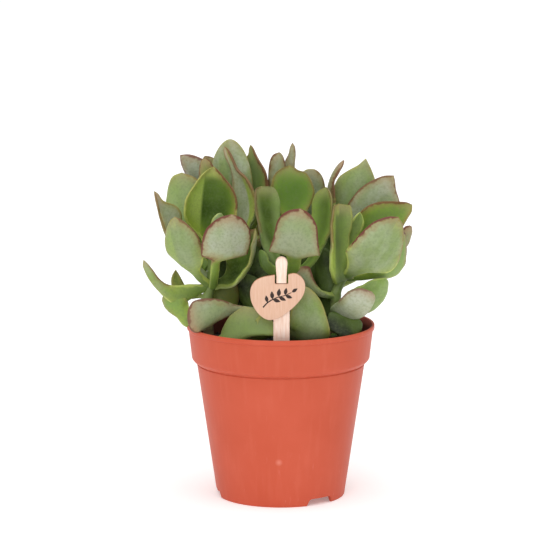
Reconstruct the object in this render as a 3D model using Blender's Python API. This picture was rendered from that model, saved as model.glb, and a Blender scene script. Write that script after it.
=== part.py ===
"""Potted silver jade plant: a young ripple-leaved Crassula in a round nursery pot, with a wooden pick label.

The origin is on the surface that the pot stands on, on the pot's axis. +Z is up and -Y is the label side.
Tables are in millimetres. Every mesh is scaled to metres by MM when it is made.
"""

import math

import bmesh
import bpy
import numpy as np
from mathutils import Vector

MM = 0.001
GAP = 0.3  # clearance between two pieces that touch
SEAT_GAP = 0.55  # the same between a stem and the end of a leaf, which turns as it leaves the stem

# Pot
POT_HEIGHT = 83.4
LIP_RADIUS = 45.0
LIP_DEPTH = 2.4  # height of the rolled lip
BAND_TOP_RADIUS = 44.1
BAND_FOOT_RADIUS = 42.5
BAND_FOOT = 67.0  # height at which the collar band ends
GROOVE = 65.5  # height of the groove below the band
GROOVE_RADIUS = 41.9
NECK = 62.6  # height at which the cone starts, below the step
NECK_RADIUS = 39.9
FOOT_RADIUS = 30.8
WALL = 1.2
FOOT_RISE = 3.5  # the floor's height above the surface it stands on
FOOT_WIDTH = 1.6
POT_STEPS = 72
DRAIN_NOTCHES = (38, 158, 278)  # degrees round the pot, from the label side towards +X
DRAIN_NOTCH_WIDTH = 12.0
DRAIN_NOTCH_HEIGHT = 3.1
NOTCH_CORNER = 1.2
DRAIN_HOLE_RADIUS = 3.0
DRAIN_HOLE_SIDES = 16
DRAIN_HOLE_RING = 18.0
DRAIN_HOLES_ON_RING = 6
FIRST_DRAIN_HOLE = 28  # degrees

# Soil
SOIL_TOP = 73.6
SOIL_UNEVEN = 0.7  # height of its bumps
SOIL_SHOULDER = 1.2  # its edge lies this much lower than its top

# Label: a flat stick pushed into the soil, and a sawn wooden plate hooked on its head
LABEL_FOOT = (0.3, -34.2, 44.0)  # middle of the stick's buried end
LABEL_LEAN = 6.2  # degrees, towards the label side
STICK_WIDTH = 7.6
STICK_THICKNESS = 1.2
STICK_POINT = 7.0  # height of the tapered end
STICK_SHOULDER = 54.0  # from here the stick narrows towards its head
STICK_NECK = 65.0
HEAD_WIDTH = 5.0
HEAD_TOP = 79.4
HEAD_PROUD = 0.3  # the head stands this far out of the plate's face
PLATE_THICKNESS = 1.3
NOTCH_FOOT = 66.8  # the plate's notch, open at the top, that the head lies in
PLATE_OUTLINE = (  # across and up the stick, anticlockwise from the notch, seen from the front
    (-9.0, 69.9), (-12.6, 67.8), (-14.5, 63.8), (-14.2, 58.6), (-12.2, 54.2), (-9.4, 50.9),
    (-6.0, 49.2), (-1.8, 49.9), (2.0, 52.2), (6.9, 56.7), (10.2, 61.4), (11.0, 66.4),
    (9.3, 70.0), (6.2, 71.8),
)
PLATE_TOP = 71.3  # height of the notch's corners

# Stems: points along each axis, from the buried end up
STEM_RADIUS = 2.6
BACK_STEM_RADIUS = 2.4
STEM_SIDES = 12
STEM_TAPER = 3.0  # the rounded top's height
STEMS = {
    "left": ((-33.5, -3, 62), (-35.5, -4, 96), (-33, -4, 103), (-31.5, -3, 122)),
    "centre": ((2, -6, 62), (4, -7, 100), (5, -7, 112), (5.5, -6, 118)),
    "right": ((25, -6, 62), (27, -5, 95), (30, -4, 108), (32, -2, 118)),
    "back_left": ((-17, 16, 62), (-20, 20, 100), (-23, 23, 132)),
    "back_centre": ((4, 24, 62), (4, 26, 100), (4, 27, 129)),
    "back_right": ((22, 14, 62), (26, 18, 100), (28.5, 20.5, 124)),
}

# Leaf: it grows from its node, a height on its stem, and its midrib bends round a corner point to the tip
LEAF_FORM = {
    "width": 18,  # at its widest
    "thick": 2.6,
    "cup": 45,  # degrees from midrib to margin, across the hollow upper face
    "tight": 0.75,  # how closely the midrib keeps to its corner point
    "neck": 0.08,  # where the stalk starts to widen, as a share of the length
    "wide": 0.5,  # where the blade reaches its full width
    "full": 0.62,  # where it starts to close towards the tip
    "stalk": 0.28,  # the stalk's width, as a share of the blade's
    "round": 2.0,  # 2 gives an elliptic tip, more a blunt one, less a pointed one
    "wave": 0.8,  # depth of the margins' ripple
    "hook": 0,  # how far the tip curls back
    "face": None,  # where the upper face looks, if not into the midrib's bend
}


def leaf(name, stem, node, corner, tip, **form):
    """A leaf's stem, its node's height, its midrib's corner and tip, and what differs in its form."""
    row = {"name": name, "stem": stem, "node": node, "corner": corner, "tip": tip}
    return {**LEAF_FORM, **row, **form}


LEAVES = (
    # Left shoot
    leaf("leaf_left_1", "left", 99.5, (-27.5, -27, 117.5), (-23.5, -31, 141.3), width=23.5, cup=32,
         neck=0.42, wide=0.52, full=0.74, stalk=0.17, round=2.3, tight=0.9, face=(-0.3, 1, 0.3)),
    leaf("leaf_left_2", "left", 97.8, (-15, -7, 105.5), (-12, -7, 130.5), width=22, cup=60, stalk=0.2,
         face=(-0.7, -0.8, 0.4)),
    leaf("leaf_left_3", "left", 103.5, (-45, -19, 114), (-49.5, -21, 139), width=19.3, cup=38, neck=0.3,
         wide=0.47, full=0.66, tight=0.88, face=(0.5, 1, 0.3)),
    leaf("leaf_left_4", "left", 110.8, (-48.5, 7, 121), (-47, 9.5, 155.6), width=19, cup=40, neck=0.2,
         full=0.7, round=2.6, face=(0.2, 1, 0.2)),
    leaf("leaf_left_5", "left", 106.4, (-54.5, -6, 126), (-58.5, -7, 148.5), width=19, cup=60, full=0.5,
         round=1.3, tight=0.85, hook=1.5, face=(0.8, -0.4, 0.5)),
    leaf("leaf_left_6", "left", 116, (-36, 3, 123), (-31.5, 2, 158.5), width=29, cup=62, neck=0.2,
         wide=0.45, full=0.5, stalk=0.16, round=1.25, face=(0.1, -1, 0.15)),
    leaf("leaf_left_7", "left", 116.5, (-10.5, 8, 128), (-20.5, 9, 156.8), width=24, cup=52, neck=0.2,
         full=0.6, round=1.5, face=(-0.5, -1, 0.1)),
    leaf("leaf_left_8", "left", 118, (-29, -9, 124), (-29, -11, 139.5), width=9, cup=45),
    leaf("leaf_left_9", "left", 98, (-57, -12, 96), (-64.4, -14, 116.4), width=13, cup=45, stalk=0.2,
         face=(0.4, 0.1, 1)),
    leaf("leaf_left_10", "left", 97, (-51, 8, 97), (-50.5, 9, 108), width=7.5, cup=40, stalk=0.22,
         round=1.3, face=(0.2, -1, 0.2)),
    leaf("leaf_left_11", "left", 86, (-44.5, -12, 84), (-54.3, -11, 98), width=13, cup=35, wave=1.6),
    # Low leaves round the front of the centre shoot, then its upper leaves
    leaf("leaf_centre_1", "centre", 88, (-18, -18, 95.8), (-43.2, -27.5, 89.2), width=17.6, cup=30, neck=0.4,
         wide=0.74, full=0.8, stalk=0.2, face=(0.1, 1, 0.25)),
    leaf("leaf_centre_2", "centre", 82, (-18.5, -36, 81), (-17.3, -31, 97), width=26, cup=40, full=0.75,
         round=2.6, face=(0, 1, 0.3)),
    leaf("leaf_centre_3", "centre", 78, (17.5, -35, 81), (11, -28, 107.5), width=24, cup=38, wide=0.3,
         full=0.4, round=1.8, face=(0, 1, 0.2)),
    leaf("leaf_centre_4", "centre", 112, (6, -28, 116.5), (9.1, -31, 144), width=24.5, cup=32, neck=0.42,
         wide=0.5, full=0.51, stalk=0.2, round=1.65, tight=0.94, face=(0, 1, 0.3)),
    leaf("leaf_centre_5", "centre", 106, (-8, -17, 110), (-9.5, -18, 122), width=11, cup=40),
    leaf("leaf_centre_6", "centre", 114, (7, 4, 122), (4.3, 6, 159), width=21, cup=42, neck=0.2, wide=0.62,
         full=0.72, stalk=0.3, round=2, face=(0, -1, 0.2)),
    leaf("leaf_centre_7", "centre", 109, (21, -6, 116), (21.5, -4, 150), width=15, cup=45,
         face=(-0.8, -1, 0.2)),
    leaf("leaf_centre_8", "centre", 109, (-6.7, -3.9, 118), (-9.9, -2.9, 149), width=11, cup=50,
         face=(0.6, -1, 0.2)),
    # Right shoot
    leaf("leaf_right_1", "right", 106, (40.5, -27, 114), (55, -28, 139.3), width=25, cup=28, neck=0.2,
         wide=0.44, full=0.58, stalk=0.22, round=1.75, tight=0.85, face=(-0.2, 1, 0.3)),
    leaf("leaf_right_2", "right", 98, (51.5, -14.5, 107), (58, -13, 131), width=21, cup=45, neck=0.3,
         face=(-0.5, 1, 0.4)),
    leaf("leaf_right_3", "right", 106, (57, -5, 113), (62.6, -6, 132), width=9, cup=55,
         face=(-0.8, 0.6, 0.4)),
    leaf("leaf_right_4", "right", 112, (42, 0, 128), (62.7, -3, 141.5), width=18, cup=35, round=1.7,
         face=(-0.1, -1, 0.5)),
    leaf("leaf_right_5", "right", 101, (25, -17, 110), (28, -15, 144), width=11.3, cup=60, round=2.6,
         face=(0.3, 1, 0.1)),
    leaf("leaf_right_6", "right", 114, (34.5, -9, 122), (37, -7, 138.5), width=7.5, cup=60),
    leaf("leaf_right_7", "right", 90.5, (34, -25, 91), (43, -26, 103), width=15.5, cup=35, full=0.72,
         round=2.6, face=(-0.2, 1, 0.5)),
    leaf("leaf_right_8", "right", 94, (44.5, -13, 96), (49.3, -15, 107.5), width=17, cup=45,
         face=(-0.4, 0.8, 0.4)),
    leaf("leaf_right_9", "right", 98, (15.3, -13, 99.7), (8.7, -15.8, 114.8), width=11, cup=45,
         face=(0.6, 0.8, 0.4)),
    leaf("leaf_right_10", "right", 78, (31.5, -26, 81), (34.5, -23, 91.5), width=13, cup=30),
    # Shoots at the back
    leaf("leaf_back_left_1", "back_left", 112, (-23.5, 11, 132), (-24, 13.5, 170), width=21, cup=40,
         full=0.6, face=(0, 1, 0.2)),
    leaf("leaf_back_left_2", "back_left", 115, (-35, 19, 148.5), (-48.3, 14, 162.8), width=14, cup=35,
         round=1.6, face=(0.2, 1, 0.3)),
    leaf("leaf_back_left_3", "back_left", 128, (-31, 27, 147), (-35.4, 25, 162), width=9, cup=50, round=1.3,
         face=(0, 1, 0.2)),
    leaf("leaf_back_left_4", "back_left", 120, (-6.5, 18, 141), (-14.2, 20, 166), width=12, cup=40,
         round=1.15, face=(-0.6, -1, 0.2)),
    leaf("leaf_back_left_5", "back_left", 100, (-38, 32, 104), (-45, 38, 124), width=20,
         face=(0.6, -0.6, 0.5)),
    leaf("leaf_back_left_6", "back_left", 104, (-20, 40, 112), (-20, 44.5, 137), width=22,
         face=(0, -1, 0.3)),
    leaf("leaf_back_left_7", "back_left", 109, (-39, 31, 126), (-41, 34, 149), width=16,
         face=(0.7, -0.6, 0.2)),
    leaf("leaf_back_left_8", "back_left", 118, (-22, 35, 138), (-21, 37, 158), width=15, face=(0, -1, 0.2)),
    leaf("leaf_back_centre_1", "back_centre", 120, (-2, 15, 143), (-0.9, 15, 164), width=9.5, cup=40,
         face=(0, 1, 0.2)),
    leaf("leaf_back_centre_2", "back_centre", 125, (5.5, 19, 145), (5.2, 20, 167.8), width=8, cup=60,
         face=(1, 0.3, 0.2)),
    leaf("leaf_back_centre_3", "back_centre", 115, (14.5, 14, 136), (14.8, 12, 156), width=16.5, cup=40,
         full=0.7, face=(0, 1, 0.2)),
    leaf("leaf_back_centre_4", "back_centre", 92, (4, 42, 97), (4, 45.5, 116), width=20, face=(0, -1, 0.4)),
    leaf("leaf_back_centre_5", "back_centre", 103, (14, 38, 118), (15, 41, 143), width=18,
         face=(-0.4, -1, 0.2)),
    leaf("leaf_back_centre_6", "back_centre", 94, (14, 16, 100), (17, 11, 120), width=13,
         face=(-0.3, 1, 0.4)),
    leaf("leaf_back_centre_7", "back_centre", 94, (-8, 15, 101), (-11, 10, 122), width=14,
         face=(0.4, 1, 0.4)),
    leaf("leaf_back_right_1", "back_right", 105, (41, 9, 130), (54, 8, 153.8), width=20, cup=32, full=0.55,
         round=1.7, face=(-0.1, 1, 0.2)),
    leaf("leaf_back_right_2", "back_right", 118, (32.5, 15, 136), (40.9, 17, 161.2), width=19, cup=40,
         full=0.5, round=1.4, face=(0, 1, 0.2)),
    leaf("leaf_back_right_3", "back_right", 120, (22, 11, 151), (30.5, 9, 161), width=8, cup=45, tight=0.8,
         face=(1, 0, 0.2)),
    leaf("leaf_back_right_4", "back_right", 98, (42, 32, 103), (50, 36, 122), width=20,
         face=(-0.7, -0.6, 0.4)),
    leaf("leaf_back_right_5", "back_right", 106, (30, 40, 117), (31, 43.5, 140), width=20,
         face=(0, -1, 0.3)),
    leaf("leaf_back_right_6", "back_right", 110.5, (46, 24, 126), (51, 25, 147), width=16,
         face=(-1, -0.2, 0.2)),
)
LEAF_ACROSS = (-1, -0.62, 0, 0.62, 1)  # stations from one margin to the other
MARGIN_RIPPLES = 2.3  # waves along each margin
SECOND_MARGIN = 2.1  # radians by which the other margin's ripple is shifted

# Colours, as red, green and blue in linear light, with roughness
MATERIALS = {
    "terracotta_plastic": ((0.62, 0.11, 0.06), 0.42),
    "potting_soil": ((0.028, 0.016, 0.012), 0.95),
    "stem_bark": ((0.20, 0.13, 0.06), 0.80),
    "leaf_skin": ((0.26, 0.36, 0.17), 0.50),
    "bare_wood": ((0.78, 0.55, 0.42), 0.65),
}


def clear_scene():
    for existing in list(bpy.data.objects):
        bpy.data.objects.remove(existing, do_unlink=True)


def material(name):
    """The named Principled material, made once."""
    if name in bpy.data.materials:
        return bpy.data.materials[name]
    made = bpy.data.materials.new(name)
    made.use_nodes = True
    colour, roughness = MATERIALS[name]
    shader = made.node_tree.nodes["Principled BSDF"]
    shader.inputs["Base Color"].default_value = (*colour, 1)
    shader.inputs["Roughness"].default_value = roughness
    shader.inputs["Metallic"].default_value = 0
    made.diffuse_color = (*colour, 1)
    return made


def add_object(name, points, faces, material_name, origin=(0, 0, 0)):
    """A mesh object from points in millimetres, with its origin at the given point."""
    mesh = bpy.data.meshes.new(name)
    places = [tuple((np.asarray(point, float) - origin) * MM) for point in points]
    mesh.from_pydata(places, [], [tuple(int(i) for i in face) for face in faces])
    work = bmesh.new()
    work.from_mesh(mesh)
    bmesh.ops.recalc_face_normals(work, faces=work.faces)
    work.to_mesh(mesh)
    work.free()
    mesh.materials.append(material(material_name))
    added = bpy.data.objects.new(name, mesh)
    added.location = Vector(origin) * MM
    bpy.context.collection.objects.link(added)
    return added


def smooth(obj, sharp_angle=40):
    obj.data.shade_smooth()
    obj.data.set_sharp_from_angle(angle=math.radians(sharp_angle))


def cut(obj, cutter):
    """Subtract the cutter, which stays in the file as a hidden wire helper."""
    cutter.hide_render = True
    cutter.display_type = "WIRE"
    boolean = obj.modifiers.new("cut_" + cutter.name, "BOOLEAN")
    boolean.operation = "DIFFERENCE"
    boolean.solver = "EXACT"
    boolean.object = cutter


def join_shape(obj, other):
    """Add the other object's shape to this one by a Boolean union; the other stays as a hidden helper."""
    other.hide_render = True
    other.display_type = "WIRE"
    boolean = obj.modifiers.new("join_" + other.name, "BOOLEAN")
    boolean.operation = "UNION"
    boolean.solver = "EXACT"
    boolean.object = other


def turned(name, profile, steps, material_name):
    """A profile of radius and height, from the axis round to the axis, swept round Z by a Screw modifier."""
    mesh = bpy.data.meshes.new(name)
    edges = [(i, i + 1) for i in range(len(profile) - 1)]
    mesh.from_pydata([(radius * MM, 0, height * MM) for radius, height in profile], edges, [])
    mesh.materials.append(material(material_name))
    made = bpy.data.objects.new(name, mesh)
    bpy.context.collection.objects.link(made)
    screw = made.modifiers.new("sweep", "SCREW")
    screw.angle = 2 * math.pi
    screw.steps = steps
    screw.render_steps = steps
    screw.use_merge_vertices = True
    screw.merge_threshold = 0.00001
    screw.use_smooth_shade = True
    return made


def ring(centre, radius, sides, height):
    """Points round a level circle."""
    turns = [2 * math.pi * i / sides for i in range(sides)]
    return [(centre[0] + radius * math.cos(a), centre[1] + radius * math.sin(a), height) for a in turns]


def tube_faces(rings, sides):
    """Faces of a closed tube: its sides, and one face at each end."""
    faces = []
    for low in range(rings - 1):
        for i in range(sides):
            j = (i + 1) % sides
            here = low * sides
            faces.append((here + i, here + j, here + sides + j, here + sides + i))
    faces.append(range(sides))
    faces.append(range((rings - 1) * sides, rings * sides))
    return faces


def round_the_pot(degrees, radius):
    """The level place at an angle from the label side, towards +X."""
    angle = math.radians(degrees)
    return radius * math.sin(angle), -radius * math.cos(angle)


def inner_wall():
    """Radius and height down the pot's inner wall, from the lip to the floor."""
    floor = FOOT_RISE + WALL
    return (
        (LIP_RADIUS - 1.4, POT_HEIGHT),
        (BAND_TOP_RADIUS - WALL, POT_HEIGHT - LIP_DEPTH),
        (BAND_FOOT_RADIUS - WALL, BAND_FOOT),
        (GROOVE_RADIUS - WALL, GROOVE),
        (NECK_RADIUS - WALL, NECK),
        (FOOT_RADIUS - WALL + 0.4, floor + 1.5),
        (FOOT_RADIUS - WALL - 1.1, floor),
    )


def make_pot():
    floor = FOOT_RISE + WALL
    lip_foot = POT_HEIGHT - LIP_DEPTH
    profile = [(0, floor)]
    profile += reversed(inner_wall())
    profile += [
        (LIP_RADIUS - 0.5, POT_HEIGHT),
        (LIP_RADIUS, POT_HEIGHT - 0.5),
        (LIP_RADIUS, lip_foot + 0.5),
        (LIP_RADIUS - 0.4, lip_foot),
        (BAND_TOP_RADIUS, lip_foot - 0.2),
        (BAND_FOOT_RADIUS, BAND_FOOT),
        (GROOVE_RADIUS, GROOVE + 0.7),
        (GROOVE_RADIUS - 0.5, GROOVE),
        (NECK_RADIUS + 0.4, NECK + 0.5),
        (NECK_RADIUS, NECK),
        (FOOT_RADIUS + 0.6, 4.0),
        (FOOT_RADIUS, 0.3),
        (FOOT_RADIUS - 0.3, 0),
        (FOOT_RADIUS - FOOT_WIDTH, 0),
        (FOOT_RADIUS - FOOT_WIDTH - 0.4, FOOT_RISE),
        (0, FOOT_RISE),
    ]
    pot = turned("pot", profile, POT_STEPS, "terracotta_plastic")
    for degrees in DRAIN_NOTCHES:
        cut(pot, drain_notch(degrees))
    cut(pot, drain_hole(0, 0, 0))
    for i in range(DRAIN_HOLES_ON_RING):
        x, y = round_the_pot(FIRST_DRAIN_HOLE + 360 * i / DRAIN_HOLES_ON_RING, DRAIN_HOLE_RING)
        cut(pot, drain_hole(i + 1, x, y))
    return pot


def drain_notch(degrees):
    """A cutter with rounded upper corners that opens the foot ring."""
    half = DRAIN_NOTCH_WIDTH / 2
    inner = half - NOTCH_CORNER
    rise = DRAIN_NOTCH_HEIGHT - NOTCH_CORNER
    outline = [(-half, -1), (half, -1)]
    for centre, turns in ((inner, (0, math.pi / 2)), (-inner, (math.pi / 2, math.pi))):
        for angle in np.linspace(*turns, 4):
            outline.append((centre + NOTCH_CORNER * math.cos(angle), rise + NOTCH_CORNER * math.sin(angle)))
    cutter = prism(f"notch_cutter_{degrees}", outline, -8, 8, "terracotta_plastic")
    x, y = round_the_pot(degrees, FOOT_RADIUS)
    cutter.location = Vector((x, y, 0)) * MM
    cutter.rotation_euler.z = math.radians(degrees)
    return cutter


def drain_hole(number, x, y):
    """A round cutter through the floor."""
    below = ring((x, y), DRAIN_HOLE_RADIUS, DRAIN_HOLE_SIDES, FOOT_RISE - 1)
    above = ring((x, y), DRAIN_HOLE_RADIUS, DRAIN_HOLE_SIDES, FOOT_RISE + WALL + 1)
    return add_object(
        f"drain_cutter_{number}", below + above, tube_faces(2, DRAIN_HOLE_SIDES), "terracotta_plastic"
    )


def prism(name, outline, near, far, material_name):
    """An outline in X and Z, given depth from near to far along Y."""
    count = len(outline)
    points = [(x, near, z) for x, z in outline] + [(x, far, z) for x, z in outline]
    return add_object(name, points, tube_faces(2, count), material_name)


def make_soil():
    """The root ball: it fills the pot to below the rim, and stands on the floor."""
    wall = [(radius - GAP, height) for radius, height in inner_wall()]
    edge = np.interp(SOIL_TOP, [height for _, height in wall[::-1]], [radius for radius, _ in wall[::-1]])
    wall[-1] = (wall[-1][0], wall[-1][1] + GAP)
    rings = [(edge * share, SOIL_TOP) for share in (0.2, 0.4, 0.6, 0.8, 0.93)]
    rings += [(edge, SOIL_TOP - SOIL_SHOULDER)]
    rings += [(radius, height) for radius, height in wall if height < SOIL_TOP - SOIL_SHOULDER]
    points = []
    for radius, height in rings:
        unevenness = SOIL_UNEVEN if height == SOIL_TOP else 0
        for x, y, z in ring((0, 0), radius, POT_STEPS, height):
            bump = math.sin(0.31 * x + 0.5) * math.cos(0.27 * y - 0.4)
            points.append((x, y, z + unevenness * bump))
    soil = add_object("soil", points, tube_faces(len(rings), POT_STEPS), "potting_soil")
    for name, axis in STEMS.items():
        cut(soil, stem_pocket(name, axis))
    cut(soil, stick_pocket())
    smooth(soil, 60)
    return soil


def stem_radius(name):
    return BACK_STEM_RADIUS if name.startswith("back") else STEM_RADIUS


def stem_at(name, height):
    """The point of a stem's axis at a height."""
    axis = np.array(STEMS[name], float)
    return np.array([np.interp(height, axis[:, 2], axis[:, i]) for i in range(3)])


def stem_pocket(name, axis):
    """A cutter that leaves the gap round the buried end of a stem."""
    low = axis[0][2] - GAP
    high = SOIL_TOP + 4
    radius = stem_radius(name) + GAP
    points = ring(stem_at(name, low), radius, STEM_SIDES, low)
    points += ring(stem_at(name, high), radius, STEM_SIDES, high)
    return add_object(f"pocket_cutter_{name}", points, tube_faces(2, STEM_SIDES), "potting_soil")


def make_stem(name):
    """A stem with a level foot and a rounded top, bent along its axis."""
    axis = STEMS[name]
    radius = stem_radius(name)
    top = axis[-1][2]
    heights = [z for _, _, z in axis[:-1]] + [top - STEM_TAPER]
    heights = sorted(set(heights + [(a + b) / 2 for a, b in zip(heights, heights[1:])]))
    points = []
    for height in heights:
        points += ring(stem_at(name, height), radius, STEM_SIDES, height)
    for share in (0.6, 0.95):
        height = top - STEM_TAPER * (1 - share)
        points += ring(stem_at(name, height), radius * math.sqrt(1 - share * share), STEM_SIDES, height)
    return add_object("stem_" + name, points, tube_faces(len(heights) + 2, STEM_SIDES), "stem_bark")


def unit(vectors):
    return vectors / np.linalg.norm(vectors, axis=-1, keepdims=True)


def midrib(row, base, shares):
    """Points, directions, side vectors and upper-face normals at shares of the midrib's length."""
    corner = np.array(row["corner"], float)
    tip = np.array(row["tip"], float)
    first = base + row["tight"] * (corner - base)
    second = tip + row["tight"] * (corner - tip)

    def curve(q):
        q = q[:, None]
        return (1 - q) ** 3 * base + 3 * (1 - q) ** 2 * q * first + 3 * (1 - q) * q**2 * second + q**3 * tip

    fine = np.linspace(0, 1, 81)
    steps = np.linalg.norm(np.diff(curve(fine), axis=0), axis=1)
    length = np.concatenate([[0], np.cumsum(steps)])
    q = np.interp(shares, length / length[-1], fine)
    inner = q[:, None]
    along = (1 - inner) ** 2 * (first - base) + 2 * (1 - inner) * inner * (second - first)
    along = unit(along + inner**2 * (tip - second))
    face = np.array(row["face"], float) if row["face"] else (base + tip) / 2 - corner
    side = np.cross(tip - base, face)
    side = unit(side - (side * along).sum(-1, keepdims=True) * along)
    return curve(q), side, np.cross(side, along)


def half_widths(row, shares):
    """Half the leaf's width: a stalk that widens into the blade, then the closing tip."""
    swell = np.clip((shares - row["neck"]) / (row["wide"] - row["neck"]), 0, 1) ** 0.8
    rise = row["stalk"] + (1 - row["stalk"]) * (0.5 - 0.5 * np.cos(np.pi * swell))
    closing = np.clip((shares - row["full"]) / (1 - row["full"]), 0, 1)
    if row["round"] >= 2:
        fall = np.sqrt(1 - closing ** row["round"])
    else:
        fall = (1 - closing**2) ** (1.5 - row["round"] / 2)
    return row["width"] / 2 * np.where(shares < row["full"], rise, fall)


def blade(row, base, shares, across):
    """Points of the leaf's middle surface, normals of its upper face, and its thickness there."""
    centre, side, normal = midrib(row, base, shares)
    half = half_widths(row, shares)[:, None]
    across = np.asarray(across, float)[None, :]
    bend = np.radians(row["cup"]) * np.clip(shares / 0.35, 0.35, 1)[:, None]
    out = half * np.sin(bend * across) / bend
    fade = np.sin(np.pi * shares) ** 0.7 * np.clip((shares - 0.15) / 0.25, 0, 1)
    turn = 2 * np.pi * MARGIN_RIPPLES * shares[:, None] + np.where(across > 0, SECOND_MARGIN, 0)
    ripple = row["wave"] * np.abs(across) ** 2.2 * fade[:, None] * np.sin(turn)
    hook = row["hook"] * np.clip((shares - 0.72) / 0.28, 0, 1)[:, None] ** 2
    lift = half * (1 - np.cos(bend * across)) / bend + ripple - hook
    points = centre[:, None] + side[:, None] * out[..., None] + normal[:, None] * lift[..., None]
    upward = normal[:, None] * np.cos(bend * across)[..., None]
    upward = upward - side[:, None] * np.sin(bend * across)[..., None]
    thick = row["thick"] * (1.25 - 0.75 * shares**1.2) * np.sqrt(np.clip((1 - shares) / 0.08, 0.25, 1))
    return points, upward, thick[:, None] * np.sqrt(1 - across**4)


def leaf_base(row):
    """Where the stalk ends, so that it clears the stem's skin by the gap."""
    axis = stem_at(row["stem"], row["node"])
    outward = np.array(row["corner"], float) - axis
    outward[2] = 0
    outward = unit(outward)
    reach = 1.0
    foot = np.zeros(1)
    for _ in range(3):
        base = axis + outward * (stem_radius(row["stem"]) + SEAT_GAP + reach)
        _, side, normal = midrib(row, base, foot)
        half = half_widths(row, foot)[0]
        reach = math.hypot(side[0] @ outward * half, normal[0] @ outward * row["thick"] * 0.625)
    return base


def leaf_shares(row):
    """Where the leaf's cross-sections lie: close together where its outline turns."""
    neck, wide, full = row["neck"], row["wide"], row["full"]
    middle = (wide + full) / 2 if full - wide > 0.12 else wide + 0.02
    closing = [full + (1 - full) * share for share in (0, 0.4, 0.7, 0.9)]
    return np.unique(np.round([0, 0.6 * neck, neck, (neck + wide) / 2, wide, middle] + closing, 3))


def make_leaf(row):
    base = leaf_base(row)
    shares = leaf_shares(row)
    middle, upward, thick = blade(row, base, shares, LEAF_ACROSS)
    upper = middle + upward * thick[..., None] / 2
    lower = middle - upward * thick[..., None] / 2
    sections = np.concatenate([middle[:, :1], upper[:, 1:-1], middle[:, -1:], lower[:, -2:0:-1]], axis=1)
    sides = sections.shape[1]
    tip = np.array(row["tip"], float) - row["hook"] * midrib(row, base, np.ones(1))[2][0]
    points = [*sections.reshape(-1, 3), tip, sections[0].mean(axis=0)]
    faces = tube_faces(len(shares), sides)[:-2]
    for i in range(sides):
        j = (i + 1) % sides
        last = (len(shares) - 1) * sides
        faces.append((last + i, last + j, len(points) - 2))
        faces.append((j, i, len(points) - 1))
    made = add_object(row["name"], points, faces, "leaf_skin", origin=base)
    smooth(made, 80)
    return made


def smooth_path(corners, steps=3):
    """Points on a Catmull-Rom curve through the corners, keeping the first and the last."""
    corners = [np.array(corner, float) for corner in corners]
    ends = [2 * corners[0] - corners[1], *corners, 2 * corners[-1] - corners[-2]]
    path = []
    for a, b, c, d in zip(ends, ends[1:], ends[2:], ends[3:]):
        for i in range(steps):
            t = i / steps
            point = b + 0.5 * t * ((c - a) + t * (2 * a - 5 * b + 4 * c - d + t * (3 * b - a - 3 * c + d)))
            path.append(tuple(point))
    return path + [tuple(corners[-1])]


def place_on_label(obj):
    obj.location = Vector(LABEL_FOOT) * MM
    obj.rotation_euler.x = math.radians(LABEL_LEAN)
    return obj


def head_outline(low):
    """The stick's narrow head, from a height up to its rounded top, counter-clockwise from the lower left."""
    half = HEAD_WIDTH / 2
    bulge = half + 0.25
    top = [(bulge * math.cos(a), HEAD_TOP - bulge + bulge * math.sin(a)) for a in np.linspace(0, math.pi, 9)]
    return [(-half + 0.15, low), (half - 0.15, low), (half - 0.15, NOTCH_FOOT + 3.5)] + top + [
        (-half + 0.15, NOTCH_FOOT + 3.5)
    ]


def make_label_stick():
    """Local X runs across the stick and Z up it. Its head is deeper, to reach through the plate's notch."""
    half = STICK_WIDTH / 2
    blade_outline = [(-0.8, 0), (0.8, 0), (half, STICK_POINT), (half, STICK_SHOULDER)]
    blade_outline += head_outline(STICK_NECK)[1:-1]
    blade_outline += [(-HEAD_WIDTH / 2 + 0.15, STICK_NECK), (-half, STICK_SHOULDER), (-half, STICK_POINT)]
    back = STICK_THICKNESS / 2
    stick = place_on_label(prism("label_stick", blade_outline, -back, back, "bare_wood"))
    front = -back - GAP - PLATE_THICKNESS - HEAD_PROUD
    head = prism("head_block", head_outline(NOTCH_FOOT + GAP), front, 0, "bare_wood")
    join_shape(stick, place_on_label(head))
    return stick


def make_label_disc():
    """The sawn plate, in front of the stick, with the notch that the stick's head passes through."""
    notch = HEAD_WIDTH / 2 + GAP + 0.25
    corners = [(-notch, PLATE_TOP - 0.2), *PLATE_OUTLINE, (notch, PLATE_TOP)]
    outline = smooth_path(corners)
    outline += [(notch, NOTCH_FOOT), (-notch, NOTCH_FOOT)]
    back = -STICK_THICKNESS / 2 - GAP
    disc = place_on_label(prism("label_disc", outline, back - PLATE_THICKNESS, back, "bare_wood"))
    bevel = disc.modifiers.new("eased_edges", "BEVEL")
    bevel.width = 0.2 * MM
    bevel.segments = 1
    bevel.limit_method = "ANGLE"
    bevel.angle_limit = math.radians(60)
    return disc


def stick_pocket():
    """A cutter for the slot in the soil that the stick stands in."""
    half = STICK_WIDTH / 2 + GAP
    depth = STICK_THICKNESS / 2 + GAP
    high = (SOIL_TOP + 6 - LABEL_FOOT[2]) / math.cos(math.radians(LABEL_LEAN))
    outline = [(-half, -GAP), (half, -GAP), (half, high), (-half, high)]
    return place_on_label(prism("pocket_cutter_label", outline, -depth, depth, "potting_soil"))


def main():
    clear_scene()
    make_pot()
    make_soil()
    for name in STEMS:
        make_stem(name)
    for row in LEAVES:
        make_leaf(row)
    make_label_stick()
    make_label_disc()


main()
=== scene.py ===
import math

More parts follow.
